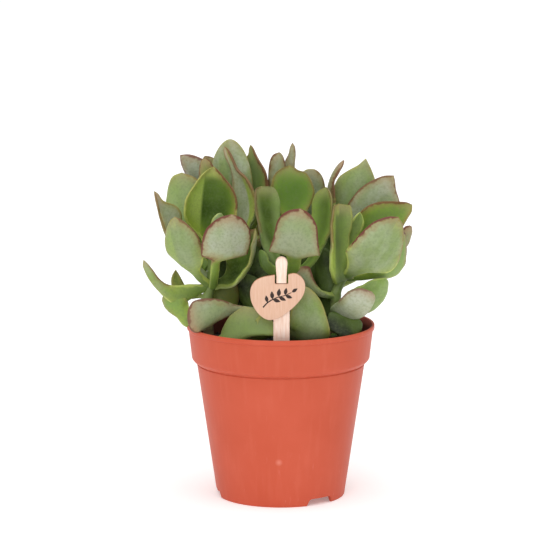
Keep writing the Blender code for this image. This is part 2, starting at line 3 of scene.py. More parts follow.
import bpy
import numpy as np
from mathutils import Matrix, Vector


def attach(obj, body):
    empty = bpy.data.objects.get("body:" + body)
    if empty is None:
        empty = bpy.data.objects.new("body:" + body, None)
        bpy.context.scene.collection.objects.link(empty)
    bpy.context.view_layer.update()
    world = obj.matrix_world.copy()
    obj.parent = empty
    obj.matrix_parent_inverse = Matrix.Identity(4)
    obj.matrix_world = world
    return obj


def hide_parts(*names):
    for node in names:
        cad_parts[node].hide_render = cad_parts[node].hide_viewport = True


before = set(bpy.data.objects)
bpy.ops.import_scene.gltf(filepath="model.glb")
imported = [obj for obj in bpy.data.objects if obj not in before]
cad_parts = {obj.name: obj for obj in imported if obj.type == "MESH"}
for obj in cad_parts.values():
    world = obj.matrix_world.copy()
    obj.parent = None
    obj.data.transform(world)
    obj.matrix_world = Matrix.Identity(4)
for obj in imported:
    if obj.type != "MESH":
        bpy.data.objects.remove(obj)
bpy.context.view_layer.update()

MM = 0.001

# ---------------------------------------------------------------- camera

CAMERA_PLACE = (-0.0018, -1.4778, 0.3627)  # metres
CAMERA_DOWN = 9.86  # degrees below the horizon
CAMERA_LENS = 203.7
CAMERA_SENSOR = 36
CAMERA_RANGE = (0.05, 60)  # metres


def place_camera():
    bpy.ops.object.select_all(action="DESELECT")
    bpy.ops.object.camera_add(location=CAMERA_PLACE, rotation=(math.radians(90 - CAMERA_DOWN), 0, 0))
    camera = bpy.context.object
    camera.name = "studio_camera"
    camera.data.lens = CAMERA_LENS
    camera.data.sensor_width = CAMERA_SENSOR
    camera.data.clip_start, camera.data.clip_end = CAMERA_RANGE
    bpy.context.scene.camera = camera


place_camera()

# ---------------------------------------------------------------- modelling helpers

CLOSE = 0.000002  # metres within which vertices are merged


def start_clean():
    """Object mode with nothing selected, because operators act on all that is selected."""
    if bpy.context.mode != "OBJECT":
        bpy.ops.object.mode_set(mode="OBJECT")
    bpy.ops.object.select_all(action="DESELECT")


def pick(*pieces):
    """Selects these pieces alone, the first one as the active one."""
    start_clean()
    for piece in pieces:
        piece.select_set(True)
    bpy.context.view_layer.objects.active = pieces[0]


def start_editing():
    """Edit mode with all of the active piece selected."""
    bpy.ops.object.mode_set(mode="EDIT")
    bpy.ops.mesh.select_all(action="SELECT")


def extrude(move):
    """Extrudes what is selected by a move in millimetres."""
    bpy.ops.mesh.extrude_region_move(TRANSFORM_OT_translate={"value": Vector(move) * MM})


def move_vertices(obj, points):
    """Puts the mesh's vertices at points in millimetres."""
    obj.data.vertices.foreach_set("co", (np.asarray(points, float) * MM).astype(np.float32).ravel())
    obj.data.update()


def vertex_places(obj):
    places = np.zeros(len(obj.data.vertices) * 3)
    obj.data.vertices.foreach_get("co", places)
    return places.reshape(-1, 3)


def settle(obj):
    """The piece's place goes into its mesh, so that its object sits at the origin, unturned and unscaled."""
    pick(obj)
    bpy.ops.object.transform_apply(location=True, rotation=True, scale=True)


def outward(obj, merge=CLOSE):
    """Merges doubles and turns all faces outwards."""
    pick(obj)
    start_editing()
    bpy.ops.mesh.remove_doubles(threshold=merge)
    bpy.ops.mesh.normals_make_consistent(inside=False)
    bpy.ops.object.mode_set(mode="OBJECT")


def apply(obj, kind, **settings):
    """Adds one modifier, sets it and applies it."""
    pick(obj)
    modifier = obj.modifiers.new(kind.lower(), kind)
    for name, value in settings.items():
        setattr(modifier, name, value)
    bpy.ops.object.modifier_apply(modifier=modifier.name)


def combine(piece, other, operation):
    """Cuts or joins the other piece, which is used up."""
    apply(piece, "BOOLEAN", operation=operation, solver="EXACT", object=other)
    bpy.data.objects.remove(other, do_unlink=True)


def join(pieces):
    pick(*pieces)
    bpy.ops.object.join()
    return bpy.context.object


def draw_out(sides, first, radius, stations):
    """A disc extruded through stations, each the middle of a ring and its radius."""
    start_clean()
    bpy.ops.mesh.primitive_circle_add(
        vertices=sides, radius=radius * MM, fill_type="NGON", location=Vector(first) * MM
    )
    piece = bpy.context.object
    bpy.ops.object.mode_set(mode="EDIT")
    for place, wide in stations:
        extrude(Vector(place) - Vector(first))
        bpy.ops.transform.resize(value=(wide / radius, wide / radius, 1))
        first, radius = place, wide
    bpy.ops.object.mode_set(mode="OBJECT")
    return piece


def cut_slab(outline, near, far):
    """A flat piece cut to an outline across and up, from near to far along its depth."""
    start_clean()
    bpy.ops.mesh.primitive_circle_add(vertices=len(outline), radius=1, fill_type="NGON")
    piece = bpy.context.object
    move_vertices(piece, [(x, near, z) for x, z in outline])
    start_editing()
    extrude((0, far - near, 0))
    bpy.ops.object.mode_set(mode="OBJECT")
    outward(piece)
    return piece


def shade(obj, angle):
    pick(obj)
    bpy.ops.object.shade_smooth_by_angle(angle=math.radians(angle))


def store(obj, name, kind, values, domain="POINT"):
    """Keeps values for the materials on the mesh's points or faces."""
    made = obj.data.attributes.new(name, kind, domain)
    field = {"FLOAT": "value", "FLOAT_VECTOR": "vector", "FLOAT_COLOR": "color"}[kind]
    made.data.foreach_set(field, np.asarray(values, np.float32).ravel())


def dress(obj, name, material, slot, *stands_for):
    """Names a finished piece, gives it its finish, and ties it to the frame."""
    obj.name = name
    obj.data.name = name
    obj.data.materials.clear()
    obj.data.materials.append(material)
    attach(obj, "root")
    if stands_for:
        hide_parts(*stands_for)


# ---------------------------------------------------------------- materials

# Sockets of the Mix node when it mixes colours
FACTOR, FIRST, SECOND, MIXED = 0, 6, 7, 2
SMOOTH = {"interpolation_type": "SMOOTHSTEP"}  # a range that starts and ends softly


def linear(hexcode):
    """An sRGB hex colour as linear red, green, blue and alpha."""
    channels = [int(hexcode[i:i + 2], 16) / 255 for i in (1, 3, 5)]
    return tuple(c / 12.92 if c <= 0.04045 else ((c + 0.055) / 1.055) ** 2.4 for c in channels) + (1,)


def fill(tree, node, inputs):
    """Gives a node's inputs their values or links."""
    for socket, value in inputs.items():
        if isinstance(value, bpy.types.NodeSocket):
            tree.links.new(value, node.inputs[socket])
        else:
            node.inputs[socket].default_value = value


def add(tree, kind, inputs=None, output=0, **settings):
    """Adds a node with its settings, fills its inputs with values or links, and gives back the output asked for."""
    made = tree.nodes.new("ShaderNode" + kind)
    for name, value in settings.items():
        setattr(made, name, value)
    fill(tree, made, inputs or {})
    return made.outputs[output]


def begin_material(name):
    """A new material with its node tree and its Principled shader."""
    made = bpy.data.materials.new(name)
    made.use_nodes = True
    return made, made.node_tree, made.node_tree.nodes["Principled BSDF"]


def leaf_skin_material():
    """Succulent leaf: a thick smooth skin under a thin wax bloom, so it is matt and pale outside, greener inside."""
    made, tree, shader = begin_material("waxy_leaf_skin")
    outer, inner = (
        add(tree, "Attribute", attribute_name=name, output="Color") for name in ("outer_tint", "inner_tint"))
    flat, place, mood, hollow, rims = (
        add(tree, "Attribute", attribute_name=name, output="Vector")
        for name in ("leaf_flat", "leaf_place", "leaf_mood", "leaf_hollow", "leaf_rim"))
    # What make_leaf stores: mm across, mm along and the leaf; mm from the margin, share along and face; the shares
    # of flank, blush and bloom; the depth of the painted shade in the hollow and where the painted light on the flanks
    # starts; the margins' lines
    (away, _, _), (margin, along, face), (flank, blush, bloom), (depth, lit_left, lit_right), (left, right, _) = (
        add(tree, "SeparateXYZ", {"Vector": vector}).node.outputs for vector in (flat, place, mood, hollow, rims))
    inside = add(tree, "MapRange", {"Value": face, "From Min": -0.3, "From Max": 0.3}, **SMOOTH)
    side = add(tree, "MapRange", {"Value": away, "From Min": -2.0, "From Max": 2.0})

    # Painted shade darkens the hollow face along its middle; painted light makes its flanks pale, and its tip where a
    # flank is set
    middle = add(tree, "MapRange", {"Value": margin, "From Min": 1.0, "From Max": 6.0}, **SMOOTH)
    for share in (inside, depth):
        middle = add(tree, "Math", {0: middle, 1: share}, operation="MULTIPLY")
    start = add(tree, "Mix", {FACTOR: side, 2: lit_right, 3: lit_left}, data_type="FLOAT")
    lit = add(tree, "Math", {0: away}, operation="ABSOLUTE")
    lit = add(tree, "Math", {0: lit, 1: start}, operation="SUBTRACT")
    lit = add(tree, "MapRange", {"Value": lit, "From Min": -0.9, "From Max": 0.9}, **SMOOTH)
    top = add(tree, "MapRange", {"Value": along, "From Min": 0.84, "From Max": 0.93}, **SMOOTH)
    has_flank = add(tree, "Math", {0: start, 1: 50.0}, operation="LESS_THAN")  # 99 where there is none
    top = add(tree, "Math", {0: top, 1: has_flank}, operation="MULTIPLY")
    lit = add(tree, "Math", {0: lit, 1: top}, operation="MAXIMUM")
    share = add(tree, "MapRange", {"Value": inside, "To Min": 0.55})
    lit = add(tree, "Math", {0: lit, 1: share}, operation="MULTIPLY")

    # Broad mottling, about 14 mm across, shifts the green towards yellow and back
    broad = add(tree, "TexNoise", {"Vector": flat, "Scale": 0.07})
    shift = add(tree, "MapRange", {"Value": broad, "From Min": 0.35, "From Max": 0.65, "To Max": 0.42})

    # Yellow-green flanks, strongest towards the margins of the lower half
    near = {"Value": margin, "From Max": 7.0, "To Min": 1.0, "To Max": 0.0}
    low = {"Value": along, "From Min": 0.35, "From Max": 0.85, "To Min": 1.0, "To Max": 0.25}
    foot = {"Value": along, "From Min": 0.08, "From Max": 0.4, "To Min": 0.2}
    yellow = add(tree, "MapRange", near, **SMOOTH)
    for share in (add(tree, "MapRange", low, **SMOOTH), add(tree, "MapRange", foot), flank):
        yellow = add(tree, "Math", {0: yellow, 1: share}, operation="MULTIPLY")

    # Wax bloom on the outer face, rubbed away in patches
    streaked = add(tree, "Mapping", {"Vector": flat, "Scale": (1.0, 0.45, 1.0)})
    rubbed = add(tree, "TexNoise", {"Vector": streaked, "Scale": 0.16, "Detail": 4.0})
    wax = add(tree, "MapRange", {"Value": rubbed, "From Min": 0.38, "From Max": 0.66, "To Min": 0.1, "To Max": 0.9})
    outside = add(tree, "Math", {0: 1.0, 1: inside}, operation="SUBTRACT")
    for share in (outside, bloom):
        wax = add(tree, "Math", {0: wax, 1: share}, operation="MULTIPLY")

    # Pores: dark green dots, real ones are 0.3 mm apart and these are drawn at 1.1 mm to show
    pores = add(tree, "TexVoronoi", {"Vector": flat, "Scale": 0.9}, feature="F1")
    pores = add(tree, "MapRange", {"Value": pores, "From Min": 0.1, "From Max": 0.3, "To Min": 0.16, "To Max": 0.0})
    # Speckles of darker green, about 1 mm across
    speckle = add(tree, "TexNoise", {"Vector": flat, "Scale": 0.8, "Detail": 3.0})
    speckle = add(tree, "MapRange", {"Value": speckle, "From Min": 0.45, "From Max": 0.68, "To Max": 0.3})
    # Rosy blush towards the tip
    tip = add(tree, "MapRange", {"Value": along, "From Min": 0.8}, **SMOOTH)
    tip = add(tree, "Math", {0: tip, 1: blush}, operation="MULTIPLY")

    # The margin: a pale line low down, and higher up a red-brown one about 1 mm wide, uneven, with a soft halo
    uneven = add(tree, "TexNoise", {"Vector": flat, "Scale": 0.4})
    width = add(tree, "MapRange", {"Value": uneven, "From Min": 0.3, "From Max": 0.7, "To Min": 0.6, "To Max": 1.7})
    rim = add(tree, "Mix", {FACTOR: side, 2: right, 3: left}, data_type="FLOAT")
    broader = add(tree, "MapRange", {"Value": rim, "From Max": 1.2, "To Min": 0.75, "To Max": 1.5})
    width = add(tree, "Math", {0: width, 1: broader}, operation="MULTIPLY")
    line = add(tree, "Math", {0: margin, 1: width}, operation="DIVIDE")
    line = add(tree, "MapRange", {"Value": line, "From Min": 0.35, "To Min": 1.0, "To Max": 0.0}, **SMOOTH)
    pale = add(tree, "MapRange", {"Value": flank, "To Max": 0.85})
    pale = add(tree, "Math", {0: line, 1: pale}, operation="MULTIPLY")
    upper = add(tree, "Math", {0: uneven, 1: -0.5, 2: along}, operation="MULTIPLY_ADD")
    upper = add(tree, "MapRange", {"Value": upper, "From Min": 0.12, "From Max": 0.36}, **SMOOTH)
    blushes = add(tree, "Math", {0: blush, 1: 20.0}, operation="MULTIPLY", use_clamp=True)
    for share in (blushes, rim):
        upper = add(tree, "Math", {0: upper, 1: share}, operation="MULTIPLY")
    halo = add(tree, "Math", {0: margin, 1: width}, operation="SUBTRACT")
    halo = add(tree, "MapRange", {"Value": halo, "From Max": 2.4, "To Min": 0.34, "To Max": 0.0}, **SMOOTH)
    halo = add(tree, "Math", {0: halo, 1: upper}, operation="MULTIPLY")
    for share in (0.85, upper):
        line = add(tree, "Math", {0: line, 1: share}, operation="MULTIPLY", use_clamp=True)

    skin = add(tree, "Mix", {FACTOR: inside, FIRST: outer, SECOND: inner}, data_type="RGBA", output=MIXED)
    # The first two mixes are painted shade in the hollow and painted light on the flanks and tip
    for share, tint in (
        (middle, "#2F400C"), (lit, "#A0B457"), (shift, "#7C9A40"), (yellow, "#8FA534"), (wax, "#BCC1AE"),
        (pores, "#5F7042"), (speckle, "#66774A"), (tip, "#A98C72"), (pale, "#BAC566"), (halo, "#9A7B55"),
        (line, "#6F3F30"),
    ):
        skin = add(tree, "Mix", {FACTOR: share, FIRST: skin, SECOND: linear(tint)}, data_type="RGBA", output=MIXED)

    gloss = {"Value": rubbed, "From Min": 0.35, "From Max": 0.7, "To Min": 0.42, "To Max": 0.6}
    grain = add(tree, "TexNoise", {"Vector": flat, "Scale": 1.6, "Detail": 3.0})
    relief = add(tree, "Math", {0: broad, 1: 3.0, 2: grain}, operation="MULTIPLY_ADD")
    bump = add(tree, "Bump", {"Height": relief, "Strength": 0.35, "Distance": 0.0004})
    fill(tree, shader, {
        "Base Color": skin,
        "Roughness": add(tree, "MapRange", gloss),
        "Specular IOR Level": add(tree, "MapRange", {"Value": inside, "To Min": 0.5, "To Max": 0.2}),
        "Normal": bump,
        "IOR": 1.4,
        "Subsurface Weight": 0.12,
        "Subsurface Radius": (0.9, 1.0, 0.35),
        "Subsurface Scale": 0.002,
    })
    return made


GATE_SCAR = (-0.0008, -0.034, 0.0228)  # metres


def pot_material():
    """Polypropylene, injection moulded: an even terracotta red with a soft satin gloss, faint flow marks and scuffs."""
    made, tree, shader = begin_material("terracotta_polypropylene")
    here = add(tree, "TexCoord", output="Object")
    clouds = add(tree, "TexNoise", {"Vector": here, "Scale": 38.0, "Detail": 4.0})
    clouds = add(tree, "MapRange", {"Value": clouds, "From Min": 0.3, "From Max": 0.7})
    # Flow marks: faint upright streaks about 3 mm apart
    streaks = add(tree, "Mapping", {"Vector": here, "Scale": (330.0, 330.0, 14.0)})
    streaks = add(tree, "TexNoise", {"Vector": streaks, "Scale": 1.0})
    faint = add(tree, "MapRange", {"Value": streaks, "From Min": 0.5, "From Max": 0.75, "To Max": 0.1})
    # Scuffs: short pale scratches, mostly on the foot
    scuffs = add(tree, "Mapping", {"Vector": here, "Rotation": (0.3, 0.2, 0.5), "Scale": (900.0, 900.0, 160.0)})
    scuffs = add(tree, "TexNoise", {"Vector": scuffs, "Scale": 1.0, "Detail": 3.0})
    scuffs = add(tree, "MapRange", {"Value": scuffs, "From Min": 0.66, "From Max": 0.78})
    height = add(tree, "SeparateXYZ", {"Vector": here}, output="Z")
    foot = add(tree, "MapRange", {"Value": height, "From Max": 0.03, "To Min": 0.35, "To Max": 0.05})
    scuffs = add(tree, "Math", {0: scuffs, 1: foot}, operation="MULTIPLY")
    # The moulding gate's scar, 3 mm across, low on the front
    scar = add(tree, "VectorMath", {0: here, 1: GATE_SCAR}, operation="DISTANCE", output="Value")
    scar = add(tree, "Math", {0: clouds, 1: 0.0012, 2: scar}, operation="MULTIPLY_ADD")
    scar = add(tree, "MapRange", {"Value": scar, "From Min": 0.0011, "From Max": 0.0026, "To Min": 0.32, "To Max": 0.0})
    # Painted shade, with some peat dirt, darkens the inner wall below the lip
    peat_and_painted_shade = add(tree, "Attribute", attribute_name="inner_wall", output="Fac")
    patchy = add(tree, "MapRange", {"Value": clouds, "To Min": 0.8})
    peat_and_painted_shade = add(tree, "Math", {0: peat_and_painted_shade, 1: patchy}, operation="MULTIPLY")
    colour = linear("#C4563D")
    for share, tint in (
        (clouds, "#CB5D45"), (faint, "#E08068"), (scuffs, "#E6A493"), (scar, "#F0A893"), (peat_and_painted_shade, "#2A1610"),
    ):
        colour = add(tree, "Mix", {FACTOR: share, FIRST: colour, SECOND: linear(tint)}, data_type="RGBA", output=MIXED)
    # Mould texture: real grit is 0.2 mm, drawn at 0.6 mm to show
    grit = add(tree, "TexNoise", {"Vector": here, "Scale": 1600.0})
    relief = add(tree, "Math", {0: streaks, 1: 1.5, 2: grit}, operation="MULTIPLY_ADD")
    bump = add(tree, "Bump", {"Height": relief, "Strength": 0.15, "Distance": 0.0001})
    fill(tree, shader, {
        "Base Color": colour,
        "Roughness": add(tree, "MapRange", {"Value": clouds, "To Min": 0.38, "To Max": 0.48}),
        "Normal": bump,
        "IOR": 1.49,
        "Specular IOR Level": 0.12,
    })
    return made


def soil_material():
    """Damp peat mix: almost black, matt, with brown fibres and a few pale mineral grains."""
    made, tree, shader = begin_material("damp_potting_mix")
    here = add(tree, "TexCoord", output="Object")
    lumps = add(tree, "TexNoise", {"Vector": here, "Scale": 420.0, "Detail": 5.0, "Roughness": 0.65})
    lumps = add(tree, "MapRange", {"Value": lumps, "From Min": 0.35, "From Max": 0.65})
    fibres = add(tree, "Mapping", {"Vector": here, "Rotation": (0, 0, 0.7), "Scale": (1500.0, 260.0, 900.0)})
    fibres = add(tree, "TexNoise", {"Vector": fibres, "Scale": 1.0})
    fibres = add(tree, "MapRange", {"Value": fibres, "From Min": 0.62, "From Max": 0.72, "To Max": 0.7})
    grains = add(tree, "TexVoronoi", {"Vector": here, "Scale": 520.0}, feature="F1")
    grains = add(tree, "MapRange", {"Value": grains, "From Min": 0.12, "From Max": 0.2, "To Min": 0.6, "To Max": 0.0})
    colour = linear("#1C120E")
    for share, tint in ((lumps, "#3B2A21"), (fibres, "#6A4B34"), (grains, "#8B7A68")):
        colour = add(tree, "Mix", {FACTOR: share, FIRST: colour, SECOND: linear(tint)}, data_type="RGBA", output=MIXED)
    bump = add(tree, "Bump", {"Height": lumps, "Strength": 0.9, "Distance": 0.0009})
    fill(tree, shader, {
        "Base Color": colour,
        "Roughness": add(tree, "MapRange", {"Value": lumps, "To Min": 0.7, "To Max": 0.98}),
        "Normal": bump,
    })
    return made


def stem_material():
    """Young succulent stem: olive skin going corky brown low down, with rings where leaves have dropped."""
    made, tree, shader = begin_material("young_stem_bark")
    here = add(tree, "TexCoord", output="Object")
    height = add(tree, "SeparateXYZ", {"Vector": here}, output="Z")
    low = add(tree, "MapRange", {"Value": height, "From Min": 0.075, "From Max": 0.112})
    cork = add(tree, "TexNoise", {"Vector": here, "Scale": 300.0, "Detail": 5.0})
    edge = add(tree, "Math", {0: cork, 1: 0.8, 2: low}, operation="MULTIPLY_ADD")
    green = add(tree, "MapRange", {"Value": edge, "From Min": 0.55, "From Max": 0.95})
    colour = linear("#4A3A26")
    for share, tint in ((cork, "#8A7450"), (green, "#7E9150")):
        colour = add(tree, "Mix", {FACTOR: share, FIRST: colour, SECOND: linear(tint)}, data_type="RGBA", output=MIXED)
    rings = {"Vector": here, "Scale": 90.0, "Distortion": 2.0, "Detail": 2.0}
    rings = add(tree, "TexWave", rings, bands_direction="Z", output="Fac")
    relief = add(tree, "Math", {0: cork, 1: 0.6, 2: rings}, operation="MULTIPLY_ADD")
    bump = add(tree, "Bump", {"Height": relief, "Strength": 0.5, "Distance": 0.0004})
    fill(tree, shader, {
        "Base Color": colour,
        "Roughness": add(tree, "MapRange", {"Value": green, "To Min": 0.85, "To Max": 0.55}),
        "Normal": bump,
    })
    return made


def wood_material(name, pale, dark, toasted):
    """Bare poplar veneer, cut by laser: pale pinkish wood with fine upright grain, toasted brown where it is cut."""
    made, tree, shader = begin_material(name)
    here = add(tree, "TexCoord", output="Object")
    grain = add(tree, "Mapping", {"Vector": here, "Scale": (1400.0, 900.0, 60.0)})
    grain = add(tree, "TexNoise", {"Vector": grain, "Scale": 1.0, "Detail": 4.0, "Roughness": 0.6})
    grain = add(tree, "MapRange", {"Value": grain, "From Min": 0.35, "From Max": 0.68})
    cloud = add(tree, "TexNoise", {"Vector": here, "Scale": 120.0})
    cloud = add(tree, "MapRange", {"Value": cloud, "From Min": 0.35, "From Max": 0.7, "To Max": 0.22})
    cut = add(tree, "Attribute", attribute_name="cut_edge", output="Fac")
    cut = add(tree, "Math", {0: cut, 1: toasted}, operation="MULTIPLY")
    colour = linear(pale)
    for share, tint in ((grain, dark), (cloud, "#DDB394"), (cut, "#A9714B")):
        colour = add(tree, "Mix", {FACTOR: share, FIRST: colour, SECOND: linear(tint)}, data_type="RGBA", output=MIXED)
    bump = add(tree, "Bump", {"Height": grain, "Strength": 0.4, "Distance": 0.00008})
    fill(tree, shader, {
        "Base Color": colour,
        "Roughness": add(tree, "MapRange", {"Value": grain, "To Min": 0.55, "To Max": 0.75}),
        "Normal": bump,
    })
    return made


def burnt_mark_material():
    """Laser-burnt wood: charred brown-black, matt, paler where the burn is shallow."""
    made, tree, shader = begin_material("charred_wood")
    here = add(tree, "TexCoord", output="Object")
    patches = add(tree, "TexNoise", {"Vector": here, "Scale": 900.0, "Detail": 3.0})
    colour = {FACTOR: patches, FIRST: linear("#1D1512"), SECOND: linear("#43302A")}
    bump = add(tree, "Bump", {"Height": patches, "Strength": 0.3, "Distance": 0.0001})
    fill(tree, shader, {
        "Base Color": add(tree, "Mix", colour, data_type="RGBA", output=MIXED),
        "Roughness": add(tree, "MapRange", {"Value": patches, "To Min": 0.7, "To Max": 0.95}),
        "Normal": bump,
    })
    return made


LEAF_SKIN = leaf_skin_material()
POT_PLASTIC = pot_material()
POTTING_MIX = soil_material()
STEM_BARK = stem_material()
STICK_WOOD = wood_material("stick_poplar", "#FFE9DB", "#EFC9B1", 0.25)
PLATE_WOOD = wood_material("plate_poplar", "#DFB89F", "#D7AB90", 0.9)
CHARRED = burnt_mark_material()

# ---------------------------------------------------------------- leaves

LEAF_FORM = {
    "width": 18,  # at its widest
    "thick": 2.6,
    "cup": 45,  # degrees from midrib to margin, across the hollow upper face
    "tight": 0.75,  # how closely the midrib keeps to its corner point
    "neck": 0.08,  # where the stalk starts to widen, as a share of the length
    "wide": 0.5,  # where the blade reaches its full width
    "full": 0.62,  # where it starts to close towards the tip
    "stalk": 0.28,  # the stalk's width, as a share of the blade's
    "round": 2.0,  # 2 gives an elliptic tip, more a blunt one, less a pointed one
    "wave": 0.8,  # depth of the margins' ripple
    "hook": 0,  # how far the tip curls back
    "face": None,  # where the upper face looks, if not into the midrib's bend
    "left": None,  # half widths on the left, seen on the outer face with the tip up, as (share, mm), if not by formula
    "right": None,
    "cup_right": None,  # the right half's cup, if it differs from the left's
    "fold": 0,  # length of a sharp bend at the corner, if the midrib has one
    "horns": 0,  # how far the blade's lower corners hang below the fold
    "lit": (99, 99),  # how far from the midrib the painted light on the flank starts, on the left and on the right
    "stalk_shift": 0,  # how far left of the blade's midrib the stalk meets its fold
    "rim": (1, 1),  # strength of the red-brown line on the left and right margin
    "ripples": (),  # single waves of a margin: side (1 left, -1 right), share, height, length as a share
    "outside": "sage",  # tint of the outer, lower face
    "inside": "fresh",  # tint of the hollow, upper face
    "flank": 0.6,  # strength of the yellow-green flanks
    "blush": 0.3,  # strength of the rosy tip
    "bloom": 0.35,  # strength of the wax
    "green_to": 0.32,  # share of the length to which the stalk's green reaches
    "hollow": 0.3,  # how much painted shade darkens the hollow face along its middle
}

# Tints of the leaf skin, from the wax-covered outer faces to the inner ones; shade and shadow are dark tints that paint
# shade onto leaves deep in the crown
TINTS = {
    "pale": "#B3B79F",
    "frosted": "#A2A68F",
    "silver": "#969E7C",
    "sage": "#82925F",
    "moss": "#82935C",
    "leek": "#7F9C48",
    "fresh": "#6B9038",
    "deep": "#557426",
    "olive": "#7E8540",
    "dull": "#6F7E49",
    "shade": "#242D10",
    "fern": "#8AA05C",
    "shadow": "#3F5624",
    "stalk": "#6F8A3C",
    "rosy": "#A79F86",
}


def leaf(name, stem, node, corner, tip, **form):
    """A leaf's stem, its node's height, its midrib's corner and tip, and what differs in its form and tints."""
    row = {"name": name, "stem": stem, "node": node, "corner": corner, "tip": tip}
    return {**LEAF_FORM, **row, **form}


